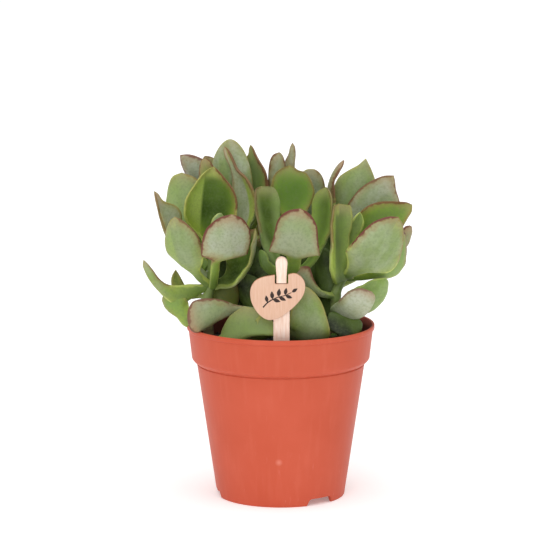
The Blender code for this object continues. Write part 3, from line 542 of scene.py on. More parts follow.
LEAVES = (
    # Left shoot
    leaf("leaf_left_1", "left", 102.5, (-25.8, -27, 118.8), (-23, -31, 141), width=23.5, cup=30, stalk=0.17,
         stalk_shift=4.5, fold=2.5, horns=0.8, wave=0.5, face=(-0.3, 1, 0.3), rim=(1.2, 1.2), outside="frosted",
         flank=0.5, blush=0.6,
         left=((0.52, 2), (0.57, 12), (0.63, 12.4), (0.7, 12.4), (0.8, 11.4), (0.9, 8.4), (0.96, 5)),
         right=((0.52, 2), (0.57, 11.6), (0.63, 12), (0.7, 12.2), (0.8, 11.6), (0.9, 8.8), (0.96, 5.4))),
    leaf("leaf_left_2", "left", 103, (-16, -8, 105.5), (-12, -7, 130.5), width=22, cup=60, stalk=0.3,
         face=(-0.9, -0.6, 0.4), rim=(0.4, 0.8), lit=(7.5, 99), outside="rosy", inside="shade", flank=0.35,
         hollow=0.8,
         left=((0.06, 3), (0.15, 5), (0.25, 7.2), (0.35, 8.6), (0.5, 9.6), (0.6, 10), (0.7, 10), (0.8, 9),
               (0.9, 6.8)),
         right=((0.1, 4), (0.3, 10.6), (0.4, 12.6), (0.6, 12.6), (0.8, 10), (0.9, 7.2))),
    leaf("leaf_left_3", "left", 103.5, (-45, -19, 114), (-49.8, -21, 138.3), width=19.3, cup=38, tight=0.88,
         stalk=0.22, face=(0.5, 1, 0.3), rim=(0.5, 1), lit=(4, 99), flank=1, bloom=0.25,
         left=((0.25, 1.4), (0.3, 2.4), (0.4, 7.4), (0.5, 10.8), (0.6, 11.8), (0.7, 11.2), (0.8, 9.7), (0.9, 6.3),
               (0.96, 3.6)),
         right=((0.25, 2.6), (0.3, 3.5), (0.4, 7.3), (0.5, 8.6), (0.6, 9.2), (0.7, 9.6), (0.8, 8.2), (0.9, 4.9),
                (0.96, 2.4))),
    leaf("leaf_left_4", "left", 110.8, (-48.5, 7, 121), (-47.4, 9.5, 155), width=19, cup=40, face=(0.2, 1, 0.2),
         rim=(0.3, 0.7), outside="fern", flank=0.9, bloom=0.2,
         left=((0.25, 3), (0.4, 7.6), (0.5, 9.4), (0.7, 9.8), (0.8, 9), (0.9, 7.4), (0.96, 5.2)),
         right=((0.25, 3.4), (0.4, 8.3), (0.5, 9.6), (0.7, 10), (0.8, 10), (0.9, 9.4), (0.96, 6))),
    leaf("leaf_left_5", "left", 106.4, (-54.9, -6, 121), (-58.6, -7, 148.5), width=19, thick=2.2, cup=60, tight=0.85,
         hook=1.8, face=(0.7, -0.7, 0.6), rim=(0.5, 0.8), outside="silver", inside="frosted", flank=0.7, blush=0.9,
         hollow=0,
         left=((0.1, 3), (0.3, 7), (0.5, 10), (0.7, 10.5), (0.78, 9.6), (0.83, 7.6), (0.87, 4.2), (0.9, 2.6),
               (0.96, 1.8)),
         right=((0.1, 3), (0.3, 3), (0.5, 1.6), (0.7, 1), (0.8, 1.6), (0.86, 2.4), (0.9, 2.3), (0.96, 1.5))),
    leaf("leaf_left_6", "left", 116, (-36, 3, 123), (-31.8, 2, 159), width=29, thick=2.4, cup=66, stalk=0.16,
         face=(0.1, -1, 0.15), rim=(1, 0.3), lit=(14.5, 4.6), inside="deep", flank=1, bloom=0.1, hollow=0.65,
         left=((0.1, 2.4), (0.2, 3.6), (0.3, 9.5), (0.4, 14.4), (0.5, 15.4), (0.6, 15.6), (0.7, 14.6), (0.8, 11.8),
               (0.9, 6.6), (0.96, 3)),
         right=((0.1, 2.4), (0.2, 3.6), (0.3, 9.5), (0.4, 14.4), (0.5, 16), (0.6, 16), (0.7, 14), (0.8, 10.8),
                (0.9, 7.4), (0.96, 4))),
    leaf("leaf_left_7", "left", 116.5, (-9.8, 8, 130), (-26.8, 7, 168), thick=3, cup=52, tight=0.8,
         face=(-0.5, -1, 0.1), rim=(0.9, 0.5), lit=(4, 99), outside="rosy", inside="pale", flank=0.3, blush=0.6,
         hollow=0,
         left=((0.1, 2.2), (0.3, 4.2), (0.42, 8), (0.52, 9.6), (0.6, 9.2), (0.68, 7.6), (0.73, 6), (0.77, 3.4),
               (0.81, 2.4), (0.9, 2.2), (0.96, 1.7)),
         right=((0.1, 2.2), (0.3, 2.8), (0.4, 5), (0.5, 6), (0.6, 5.2), (0.68, 3.8), (0.76, 2.6), (0.82, 2.1),
                (0.92, 1.9), (0.97, 1.4))),
    leaf("leaf_left_8", "left", 118, (-29, -9, 124), (-29, -11, 138.5), width=9, outside="fern", blush=0, bloom=0.5),
    leaf("leaf_left_9", "left", 102, (-58, -12, 95.6), (-65, -14, 116.6), width=13, cup=28, cup_right=40, tight=0.8,
         stalk=0.4, wave=0.3, face=(0.25, 1, 0), rim=(0.3, 1), outside="leek", inside="leek", flank=1, blush=0.4,
         bloom=0.5, green_to=0.62, hollow=0.1,
         left=((0.05, 2.4), (0.12, 3.2), (0.2, 4.4), (0.28, 6), (0.36, 6.6), (0.43, 5.2), (0.5, 3.2), (0.6, 1.5),
               (0.7, 1.3), (0.8, 1.5), (0.92, 1.4)),
         right=((0.05, 2), (0.12, 2.8), (0.24, 3.8), (0.37, 3.8), (0.5, 3.3), (0.65, 2.9), (0.8, 2.5), (0.92, 1.4))),
    leaf("leaf_left_10", "left", 97, (-51, 8, 97), (-50.5, 9, 108), width=7.5, cup=40, stalk=0.22,
         face=(0.2, -1, 0.2), rim=(0.3, 0.3), outside="deep", inside="olive", flank=0.3, bloom=0, hollow=0.35,
         left=((0.1, 0.8), (0.4, 1.4), (0.6, 2.2), (0.7, 2.5), (0.8, 2.2), (0.9, 1.4)),
         right=((0.1, 0.8), (0.4, 4.3), (0.6, 4.2), (0.7, 3.5), (0.8, 2.8), (0.9, 1.7))),
    leaf("leaf_left_11", "left", 88, (-45, -9, 84), (-55.8, -6, 98.4), width=13, cup=35, wave=0.9, face=(0.3, 1, 0.2),
         rim=(0.6, 0.3), outside="leek", flank=1, bloom=0.05,
         left=((0.08, 3), (0.25, 5.8), (0.35, 5.6), (0.5, 3.4), (0.6, 3.4), (0.7, 4.6), (0.8, 5), (0.9, 3.8),
               (0.96, 2.4)),
         right=((0.1, 2.4), (0.3, 4), (0.5, 6), (0.7, 7.6), (0.85, 6.4), (0.95, 3.6))),
    # Low leaves round the front of the centre shoot, then its upper leaves
    leaf("leaf_centre_1", "centre", 88, (-18.6, -18, 97.2), (-43.6, -28, 87.6), width=17.6, cup=30, stalk=0.16,
         face=(0.1, 1, 0.25), outside="silver", flank=0.1, blush=0.6, bloom=0.2,
         left=((0.3, 1.3), (0.5, 1.3), (0.6, 2.4), (0.7, 4.8), (0.8, 7.4), (0.88, 8.2), (0.94, 6.8), (0.98, 4.2)),
         right=((0.3, 1.4), (0.5, 2.4), (0.6, 5.4), (0.7, 8.2), (0.8, 10), (0.88, 10.2), (0.94, 8), (0.98, 4.4))),
    leaf("leaf_centre_2", "centre", 82, (-18.5, -36, 81), (-17, -31, 97.4), width=28, cup=36, stalk=0.3, fold=4,
         wave=0.5, face=(0, 1, 0.3), rim=(0.3, 0.3), outside="dull", flank=0.5, bloom=0.05,
         left=((0.55, 6), (0.66, 14.6), (0.75, 14.6), (0.82, 13.2), (0.9, 10), (0.96, 5)),
         right=((0.55, 7), (0.66, 15.4), (0.75, 16.4), (0.85, 15), (0.92, 11.4), (0.97, 6.6))),
    leaf("leaf_centre_3", "centre", 78, (17.5, -35, 77.8), (11, -28, 106.5), width=24, cup=34, tight=0.85, wide=0.3,
         full=0.4, round=1.8, face=(0, 1, 0.2), rim=(0.4, 0.5), outside="dull", flank=1, bloom=0.3,
         right=((0.08, 4), (0.3, 10.5), (0.5, 9.8), (0.6, 8.8), (0.7, 7.9), (0.8, 7), (0.9, 5), (0.96, 2.8))),
    leaf("leaf_centre_4", "centre", 108, (6.6, -28, 121.4), (9.1, -31, 143.8), width=24.5, cup=30, fold=2, horns=2.2,
         wave=0.4, face=(0, 1, 0.3), rim=(1.2, 1.3), outside="silver", flank=0.3, blush=0.6, bloom=0.2,
         left=((0.44, 3.4), (0.5, 12.8), (0.56, 12.4), (0.64, 11.4), (0.72, 11), (0.8, 10.6), (0.9, 8.4),
               (0.96, 5.2)),
         right=((0.44, 3.4), (0.5, 12.6), (0.56, 12), (0.64, 10.8), (0.72, 10.2), (0.8, 9.4), (0.9, 6.8),
                (0.96, 3.8))),
    leaf("leaf_centre_5", "centre", 106, (-8, -17, 110), (-9.5, -18, 122), width=9, cup=40, rim=(0, 0),
         outside="shadow", flank=0.2, blush=0, bloom=0),
    leaf("leaf_centre_6", "centre", 114, (7, 4, 122), (4.3, 6, 159), width=21, cup=42, stalk=0.3, face=(0, -1, 0.2),
         rim=(0.6, 0.6), flank=0.35, bloom=0, hollow=0.35,
         left=((0.1, 3.2), (0.3, 4), (0.45, 5.6), (0.53, 7.6), (0.6, 10), (0.66, 11.4), (0.72, 11.9), (0.8, 11.2),
               (0.9, 8.8), (0.925, 7.4), (0.945, 4.2), (0.975, 2.4)),
         right=((0.1, 3.2), (0.3, 4), (0.45, 5.6), (0.53, 7.2), (0.6, 9.4), (0.66, 10.8), (0.72, 11.2), (0.8, 10.6),
                (0.9, 9), (0.945, 7.2), (0.98, 4))),
    leaf("leaf_centre_7", "centre", 109, (21, -6, 116), (21.5, -4, 150), width=15, face=(-0.8, -1, 0.2),
         rim=(0.5, 0.2), inside="leek", flank=0.15, bloom=0, hollow=0.7,
         left=((0.1, 2), (0.3, 3), (0.45, 5.4), (0.6, 7.2), (0.8, 7.2), (0.9, 5.8), (0.96, 3.4)),
         right=((0.1, 2), (0.3, 2.6), (0.45, 4.4), (0.6, 6.4), (0.8, 7.2), (0.9, 5.8), (0.96, 3.4))),
    leaf("leaf_centre_8", "centre", 109, (-7.2, -2.9, 118), (-9.6, -1.9, 150), width=13, cup=50, face=(0.6, -1, 0.2),
         rim=(0, 0.6), inside="moss", flank=0, bloom=0.2, hollow=0.95,
         left=((0.1, 2), (0.3, 5), (0.5, 8), (0.8, 8.6), (0.9, 8.2), (0.95, 7.2), (0.985, 5.4)),
         right=((0.1, 2), (0.3, 4), (0.5, 5.5), (0.8, 5.8), (0.9, 5.6), (0.95, 5.2), (0.985, 4.4))),
    # Right shoot
    leaf("leaf_right_1", "right", 107.5, (40.5, -27, 114), (55, -28, 139.3), width=25, cup=28, tight=0.85,
         ripples=((-1, 0.42, -1.6, 0.05),), face=(-0.2, 1, 0.3), rim=(1.2, 0.7), lit=(99, 12), flank=1, bloom=0.45,
         left=((0.12, 3.6), (0.3, 7), (0.4, 11.4), (0.5, 12.2), (0.6, 12.2), (0.7, 11.2), (0.8, 9.6), (0.9, 6.9),
               (0.96, 4)),
         right=((0.12, 1.6), (0.22, 2), (0.3, 3.4), (0.35, 7.6), (0.4, 12), (0.5, 15.4), (0.6, 14.4), (0.7, 12.4),
                (0.8, 10), (0.9, 6.8), (0.96, 3.8))),
    leaf("leaf_right_2", "right", 106.6, (52, -14.5, 105.5), (57.4, -13, 131), width=21, thick=2.2, stalk=0.36,
         face=(-0.5, 1, 0.4), rim=(0.6, 1.2), outside="leek", flank=1, bloom=0.05,
         left=((0.1, 3), (0.3, 4), (0.4, 7.6), (0.5, 10.5), (0.7, 10.3), (0.8, 9.2), (0.9, 7), (0.96, 4)),
         right=((0.1, 0.8), (0.3, 1.2), (0.4, 9.2), (0.5, 14.6), (0.6, 14), (0.7, 11), (0.8, 8.2), (0.9, 5.8),
                (0.96, 3.6))),
    leaf("leaf_right_3", "right", 106, (57.4, -5, 114), (61.2, -6, 131.8), width=8, cup=25, face=(-0.45, 0.8, 0.4),
         rim=(1.3, 0.8), outside="olive", flank=0.2, blush=0.7, bloom=0.5,
         left=((0.1, 1.6), (0.5, 3.2), (0.7, 4), (0.82, 4.2), (0.9, 3.9), (0.95, 3.2), (0.985, 2.2)),
         right=((0.1, 1), (0.5, 1.2), (0.7, 2), (0.82, 3.6), (0.9, 3.7), (0.95, 3), (0.985, 2))),
    leaf("leaf_right_4", "right", 112, (42, 0, 128), (62.5, -3, 141.3), cup=35, face=(-0.1, -1, 0.5), rim=(0.6, 1),
         inside="leek", flank=0.9, bloom=0.1, hollow=0.25,
         left=((0.1, 3.4), (0.3, 6.7), (0.5, 9), (0.7, 8.7), (0.8, 7), (0.9, 4.6), (0.96, 3)),
         right=((0.1, 3.4), (0.3, 8), (0.4, 10.6), (0.5, 12), (0.6, 11.8), (0.7, 10.4), (0.8, 7.6), (0.9, 4.3),
                (0.96, 2.4))),
    leaf("leaf_right_5", "right", 106, (25.4, -17, 107.5), (27.4, -15, 143.6), width=12, cup=52, stalk=0.6,
         face=(0.6, -0.75, 0.1), rim=(0.2, 0.7), lit=(99, 3), outside="silver", inside="moss", flank=0.4, blush=0.4,
         bloom=0.3, hollow=0.5,
         left=((0.1, 3.4), (0.2, 4.2), (0.3, 5.6), (0.5, 6.4), (0.7, 7), (0.85, 7), (0.95, 6.6), (0.985, 5.6)),
         right=((0.1, 3.4), (0.2, 4.4), (0.3, 6), (0.5, 7), (0.7, 7.2), (0.85, 7), (0.95, 6.4), (0.985, 5.4))),
    leaf("leaf_right_6", "right", 114, (30.6, -10, 120), (37.6, -8, 138.5), width=9, tight=0.9, face=(0.6, -1, 0.1),
         rim=(0.2, 0.2), inside="sage", flank=0.7, blush=0, hollow=0,
         left=((0.1, 1.4), (0.3, 2.6), (0.5, 3.8), (0.7, 4.2), (0.85, 3.4), (0.95, 1.8)),
         right=((0.1, 1.4), (0.3, 2.8), (0.5, 4.2), (0.7, 4.4), (0.85, 3.2), (0.95, 1.6))),
    leaf("leaf_right_7", "right", 88.8, (34, -25, 90), (42.8, -26, 103.4), width=15.5, cup=30, wave=0.2,
         face=(-0.2, 1, 0.25), rim=(0.8, 0.2), outside="pale", flank=0.1, blush=0.6, bloom=0.7,
         left=((0.08, 5), (0.2, 7.2), (0.4, 8.6), (0.5, 9), (0.6, 9.6), (0.7, 9.6), (0.8, 8.8), (0.92, 6.6),
               (0.97, 4.2)),
         right=((0.08, 2), (0.2, 3), (0.3, 4.4), (0.4, 5.8), (0.5, 6.3), (0.6, 6.2), (0.8, 5.4), (0.92, 4.2),
                (0.97, 2.6))),
    leaf("leaf_right_8", "right", 87.5, (43.5, -13, 92), (49.6, -15, 108), width=17, wave=0.4, face=(-0.4, 0.8, 0.4),
         rim=(0.3, 0.5), outside="leek", blush=0, bloom=0.3,
         left=((0.08, 4.8), (0.2, 9.4), (0.35, 11.6), (0.5, 12), (0.65, 11.4), (0.75, 9), (0.87, 6.8), (0.95, 4.2)),
         right=((0.08, 3.4), (0.3, 6.4), (0.5, 9), (0.6, 8.8), (0.7, 7.8), (0.8, 6.4), (0.9, 4.8), (0.96, 3))),
    leaf("leaf_right_9", "right", 98, (15.8, -14, 99.5), (9, -16.5, 113.6), width=12, cup=40, stalk=0.22, wave=0.4,
         face=(0.2, 1, 0.3), rim=(0.2, 1.1), outside="frosted", blush=0.8, bloom=0.4,
         left=((0.08, 1.4), (0.3, 1.8), (0.5, 2.4), (0.65, 3.4), (0.8, 4.6), (0.9, 4.6), (0.96, 3.4)),
         right=((0.08, 1.4), (0.3, 1.6), (0.5, 2), (0.65, 2.8), (0.8, 3.8), (0.9, 4), (0.96, 3))),
    leaf("leaf_right_10", "right", 78, (30.4, -22.5, 80), (33, -15, 91.4), width=19, cup=30, fold=3, wave=0.2,
         rim=(0, 0), outside="shade", flank=0, blush=0, bloom=0,
         left=((0.5, 3.4), (0.6, 9), (0.75, 10.4), (0.9, 10), (0.96, 7)),
         right=((0.55, 3.4), (0.68, 6.4), (0.8, 8.2), (0.9, 8), (0.96, 5.6))),
    # Shoots at the back
    leaf("leaf_back_left_1", "back_left", 112, (-23.9, 11, 132), (-24.3, 13.5, 170.6), width=22.6, cup=40, full=0.6,
         round=1.85, face=(0, 1, 0.2), rim=(0.25, 0.4), outside="fern", bloom=0.8),
    leaf("leaf_back_left_2", "back_left", 115, (-35, 19, 148.5), (-48.3, 14, 162.8), width=16, cup=35,
         face=(0.2, 1, 0.3), outside="frosted", flank=0, bloom=0.9,
         left=((0.1, 2.4), (0.3, 5.2), (0.5, 7), (0.7, 6.8), (0.8, 5.9), (0.9, 4), (0.96, 2)),
         right=((0.1, 2.4), (0.3, 6), (0.5, 9), (0.7, 10), (0.8, 8.4), (0.9, 5.4), (0.96, 2.8))),
    leaf("leaf_back_left_3", "back_left", 128, (-32, 27, 146), (-36.3, 25, 161), width=9, cup=50, face=(0, 1, 0.2),
         outside="leek", flank=1, blush=0.6,
         right=((0.1, 1.6), (0.4, 4.6), (0.7, 5.2), (0.8, 5), (0.9, 4.2), (0.96, 2.4))),
    leaf("leaf_back_left_4", "back_left", 120, (-6.5, 18, 141), (-14.6, 20, 167), width=15, cup=40,
         face=(-0.6, -1, 0.2), rim=(1, 0.4), outside="dull", inside="moss", flank=0.5, bloom=0,
         left=((0.08, 2), (0.3, 4.6), (0.5, 7), (0.7, 7), (0.8, 4.8), (0.87, 2.8), (0.92, 1.7), (0.97, 1.1)),
         right=((0.08, 2), (0.3, 4.6), (0.5, 6.8), (0.7, 7.4), (0.8, 7), (0.87, 5), (0.92, 2.2), (0.97, 1.1))),
    leaf("leaf_back_left_5", "back_left", 100, (-38, 32, 104), (-45, 38, 124), width=20, face=(0.6, -0.6, 0.5)),
    leaf("leaf_back_left_6", "back_left", 104, (-20, 40, 112), (-20, 44.5, 137), width=22, face=(0, -1, 0.3),
         outside="silver"),
    leaf("leaf_back_left_7", "back_left", 109, (-39, 31, 126), (-41, 34, 149), width=16, face=(0.7, -0.6, 0.2)),
    leaf("leaf_back_left_8", "back_left", 118, (-22, 35, 138), (-21, 37, 158), width=15, face=(0, -1, 0.2),
         outside="frosted"),
    leaf("leaf_back_centre_1", "back_centre", 120, (-2, 15, 143), (-0.9, 15, 164), width=9.5, cup=40,
         face=(0, 1, 0.2), outside="silver",
         left=((0.08, 1.4), (0.3, 3.6), (0.5, 5), (0.7, 5.2), (0.8, 5), (0.9, 4.4), (0.95, 3.5), (0.98, 2.2))),
    leaf("leaf_back_centre_2", "back_centre", 125, (3.9, 19, 145), (5.7, 20, 168), width=8, cup=50,
         face=(0.3, 1, 0.2), outside="rosy",
         left=((0.08, 1.2), (0.4, 4.4), (0.6, 4.8), (0.7, 4.6), (0.8, 3.4), (0.84, 2.4), (0.88, 1.6), (0.95, 1)),
         right=((0.08, 1.2), (0.4, 1.8), (0.7, 1.9), (0.85, 1.9), (0.95, 1.3))),
    leaf("leaf_back_centre_3", "back_centre", 115, (14.2, 14, 136), (14.5, 12, 156.4), width=16.5, cup=40, full=0.7,
         face=(0, 1, 0.2), rim=(0.3, 0.8), outside="silver", bloom=0.6),
    leaf("leaf_back_centre_4", "back_centre", 92, (4, 42, 97), (4, 45.5, 116), width=20, face=(0, -1, 0.4)),
    leaf("leaf_back_centre_5", "back_centre", 103, (14, 38, 118), (15, 41, 143), face=(-0.4, -1, 0.2),
         outside="silver"),
    leaf("leaf_back_centre_6", "back_centre", 94, (14, 16, 100), (17, 11, 120), width=13, face=(-0.3, 1, 0.4),
         outside="deep", bloom=0),
    leaf("leaf_back_centre_7", "back_centre", 94, (-8, 15, 101), (-11, 10, 122), width=14, face=(0.4, 1, 0.4),
         outside="deep", bloom=0),
    leaf("leaf_back_right_1", "back_right", 105, (41, 9, 130), (54, 8, 153.8), width=20, cup=32, face=(-0.1, 1, 0.2),
         outside="silver", flank=0.8, blush=0.5, bloom=0.85,
         left=((0.08, 3), (0.3, 9), (0.5, 12.8), (0.6, 13), (0.7, 12), (0.8, 10), (0.9, 6.6), (0.96, 3.8)),
         right=((0.08, 3), (0.3, 11), (0.5, 14.8), (0.7, 13.6), (0.8, 10.4), (0.9, 4.8), (0.96, 2.2))),
    leaf("leaf_back_right_2", "back_right", 118, (32.5, 15, 136), (40.9, 17, 160.8), width=19, cup=40,
         face=(0, 1, 0.2), rim=(0.4, 0.5), lit=(5.5, 99), outside="fern", flank=1,
         left=((0.08, 3), (0.3, 7.4), (0.5, 10.6), (0.6, 11), (0.7, 10.2), (0.8, 7), (0.85, 4.8), (0.9, 2.6),
               (0.95, 1.2)),
         right=((0.08, 3), (0.3, 7), (0.5, 9.8), (0.6, 10.6), (0.7, 10.2), (0.8, 8.4), (0.9, 4.8), (0.96, 2))),
    leaf("leaf_back_right_3", "back_right", 120, (20.5, 11, 151), (30.2, 9, 161), width=9.2, tight=0.8,
         face=(1, 0, 0.2), outside="rosy", inside="olive", blush=0.9),
    leaf("leaf_back_right_4", "back_right", 98, (42, 32, 103), (50, 36, 122), width=20, face=(-0.7, -0.6, 0.4)),
    leaf("leaf_back_right_5", "back_right", 106, (30, 40, 117), (31, 43.5, 140), width=20, face=(0, -1, 0.3),
         outside="silver"),
    leaf("leaf_back_right_6", "back_right", 110.5, (46, 24, 126), (51, 25, 147), width=16, face=(-1, -0.2, 0.2)),
)
# Leaves low in the crown, behind the ones above, that close the view between the shoots, tinted near black
# as painted shade: stem, node, corner, tip, width, face, and a lighter tint for those that show some light
INNER_LEAVES = tuple(
    leaf("inner_leaf_%d" % (i + 1), stem, node, corner, tip, width=width, face=face, wave=0.5,
         outside=(*tint, "shade")[0], inside="shade", flank=0.6 * len(tint), blush=0.5 * len(tint), bloom=0)
    for i, (stem, node, corner, tip, width, face, *tint) in enumerate((
        ("centre", 96, (-13, 4, 99), (-17, 6, 122), 16, (0.4, 1, 0.3)),
        ("centre", 98, (-4, 8, 104), (-4, 8, 128), 15, (0, 1, 0.3)),
        ("centre", 97, (15, 3, 101), (19, 4, 126), 16, (-0.3, 1, 0.3)),
        ("right", 99, (20, 8, 104), (20, 10, 130), 14, (0.2, 1, 0.2)),
        ("left", 104, (-26, 8, 108), (-20, 12, 130), 16, (-0.3, 1, 0.3)),
        ("back_right", 104, (27, 9, 108), (29, 6, 128), 15, (0, 1, 0.3)),
        ("back_left", 92, (-27, 12, 95), (-33, 8, 112), 15, (0.4, 1, 0.3)),
        ("centre", 84, (-5, 6, 86), (-8, 10, 102), 15, (0.2, 1, 0.4)),
        ("back_centre", 86, (8, 12, 88), (12, 6, 102), 15, (-0.2, 1, 0.4)),
        ("right", 88, (20, 8, 90), (18, 12, 106), 14, (0.2, 1, 0.4)),
        ("left", 87, (-28, 2, 88), (-25, 2, 104), 17, (0, 1, 0.3), "olive"),
        ("centre", 88, (-14, 0, 90), (-18, 1, 107), 17, (0.2, 1, 0.3)),
        ("back_left", 84, (-22, 10, 86), (-26, 8, 98), 16, (0.2, 1, 0.4)),
        ("centre", 104, (-2, 5, 108), (-3, 7, 134), 14, (0.2, 1, 0.2)),
        ("right", 96, (22, 0, 99), (19, 1, 120), 13, (0.3, 1, 0.2)),
        ("left", 118, (-33.5, 7, 142), (-36.5, 6, 162.5), 11, (0.2, 1, 0.2), "olive"),
    ))
)

STEM_RADIUS = 2.6
BACK_STEM_RADIUS = 2.4
STEMS = {  # the points of each stem's axis, from inside the potting mix up
    "left": ((-33.5, -3, 62), (-35.5, -4, 96), (-33, -4, 103), (-31.5, -3, 122)),
    "centre": ((2, -6, 62), (4, -7, 100), (5, -7, 112), (5.5, -6, 118)),
    "right": ((25, -6, 62), (26.2, -5, 92), (26.2, -5, 99), (29.4, -4, 106), (32, -2, 118)),
    "back_left": ((-17, 16, 62), (-20, 20, 100), (-23, 23, 132)),
    "back_centre": ((4, 24, 62), (4, 26, 100), (4, 27, 129)),
    "back_right": ((22, 14, 62), (26, 18, 100), (28.5, 20.5, 124)),
}

SEAT_DEPTH = 0.8  # how far a stalk runs into its stem
MARGIN_RIPPLES = 2.3  # waves along each margin
SECOND_MARGIN = 2.1  # radians by which the other margin's ripple is shifted
FINE_RIPPLES = 2.7  # how many times closer the fine waves are, which are a quarter as deep
SWELLING = 0.25  # height of the broad swellings that keep a blade from being even
CUP_OPENS = 0.35  # share of the length at which the cup reaches its full bend
RIPPLES_START = 0.15
HOOK_STARTS = 0.72
TIP_CLOSES = 0.08  # share of the length over which the tip thins out
MIDRIB_STEPS = 80
SLOPE_STEP = 0.004
MARGIN_STEPS = 240
LEAF_SEGMENTS = 36
LEAF_RINGS = 52
EDGE_ROUNDNESS = 0.55  # 1 gives an oval section, less a fuller one


def unit(vectors):
    return vectors / np.linalg.norm(vectors, axis=-1, keepdims=True)


def stem_radius(name):
    return BACK_STEM_RADIUS if name.startswith("back") else STEM_RADIUS


def stem_at(name, height):
    """The point of a stem's axis at a height."""
    axis = np.array(STEMS[name], float)
    return np.array([np.interp(height, axis[:, 2], axis[:, i]) for i in range(3)])


def ends(row):
    """A leaf's corner and tip."""
    return np.array(row["corner"], float), np.array(row["tip"], float)


def folded_path(row, base, q):
    """Two straight runs that meet at the corner in a short bend."""
    corner, tip = ends(row)
    before = np.linalg.norm(corner - base)
    after = np.linalg.norm(tip - corner)
    middle = before / (before + after)
    spread = row["fold"] / (before + after)
    run, rise = corner - base, tip - corner
    line = np.where(q < middle, base + run * q / middle, corner + rise * (q - middle) / (1 - middle))
    start, end = corner - run * spread / middle, corner + rise * spread / (1 - middle)
    ease = np.clip((q - middle + spread) / (2 * spread), 0, 1)
    bend = (1 - ease) ** 2 * start + 2 * ease * (1 - ease) * corner + ease**2 * end
    return np.where(np.abs(q - middle) < spread, bend, line)


def midrib(row, base, shares):
    """Points, side vectors and upper-face normals at shares of the midrib's length, and the length."""
    corner, tip = ends(row)
    first = base + row["tight"] * (corner - base)
    second = tip + row["tight"] * (corner - tip)

    def curve(q):
        q = q[:, None]
        if row["fold"]:
            return folded_path(row, base, q)
        return (1 - q) ** 3 * base + 3 * (1 - q) ** 2 * q * first + 3 * (1 - q) * q**2 * second + q**3 * tip

    fine = np.linspace(0, 1, MIDRIB_STEPS + 1)
    steps = np.linalg.norm(np.diff(curve(fine), axis=0), axis=1)
    length = np.concatenate([[0], np.cumsum(steps)])
    q = np.interp(shares, length / length[-1], fine)
    along = unit(curve(np.clip(q + SLOPE_STEP, 0, 1)) - curve(np.clip(q - SLOPE_STEP, 0, 1)))
    face = np.array(row["face"], float) if row["face"] else (base + tip) / 2 - corner
    side = np.cross(tip - base, face)
    side = unit(side - (side * along).sum(-1, keepdims=True) * along)
    return curve(q), side, np.cross(side, along), length[-1]


def smooth_through(table, shares):
    """A smooth curve through (share, mm) pairs that never overshoots them."""
    x, y = np.array(table, float).T
    step, slope = np.diff(x), np.diff(y) / np.diff(x)
    lean = np.zeros(len(x))
    same = slope[1:] * slope[:-1] > 0
    lean[1:-1][same] = 2 * slope[1:][same] * slope[:-1][same] / (slope[1:] + slope[:-1])[same]
    lean[0], lean[-1] = slope[0], slope[-1]
    i = np.clip(np.searchsorted(x, shares) - 1, 0, len(step) - 1)
    t = np.clip((shares - x[i]) / step[i], 0, 1)
    curve = (1 + 2 * t) * (1 - t) ** 2 * y[i] + t * (1 - t) ** 2 * step[i] * lean[i]
    return curve + t**2 * (3 - 2 * t) * y[i + 1] + t**2 * (t - 1) * step[i] * lean[i + 1]


def half_widths(row, shares, hand="left"):
    """Half the leaf's width: a stalk that widens into the blade, then the closing tip."""
    table = row[hand]
    if table:
        stalk = row["stalk"] * row["width"] / 2
        return smooth_through(((0, stalk), (0.55 * table[0][0], stalk), *table, (1, 0)), shares)
    swell = np.clip((shares - row["neck"]) / (row["wide"] - row["neck"]), 0, 1) ** 0.8
    rise = row["stalk"] + (1 - row["stalk"]) * (0.5 - 0.5 * np.cos(np.pi * swell))
    closing = np.clip((shares - row["full"]) / (1 - row["full"]), 0, 1)
    if row["round"] >= 2:
        fall = np.sqrt(1 - closing ** row["round"])
    else:
        fall = (1 - closing**2) ** (1.5 - row["round"] / 2)
    return row["width"] / 2 * np.where(shares < row["full"], rise, fall)


def leaf_base(row):
    """Where the stalk ends, a little inside the stem's skin."""
    axis = stem_at(row["stem"], row["node"])
    out = ends(row)[0] - axis
    out[2] = 0
    out = unit(out)
    reach = 1.0
    foot = np.zeros(1)
    for _ in range(3):
        base = axis + out * (stem_radius(row["stem"]) - SEAT_DEPTH + reach)
        _, side, normal, _ = midrib(row, base, foot)
        half = half_widths(row, foot)[0]
        reach = math.hypot(side[0] @ out * half, normal[0] @ out * row["thick"] * 0.625)
    return base


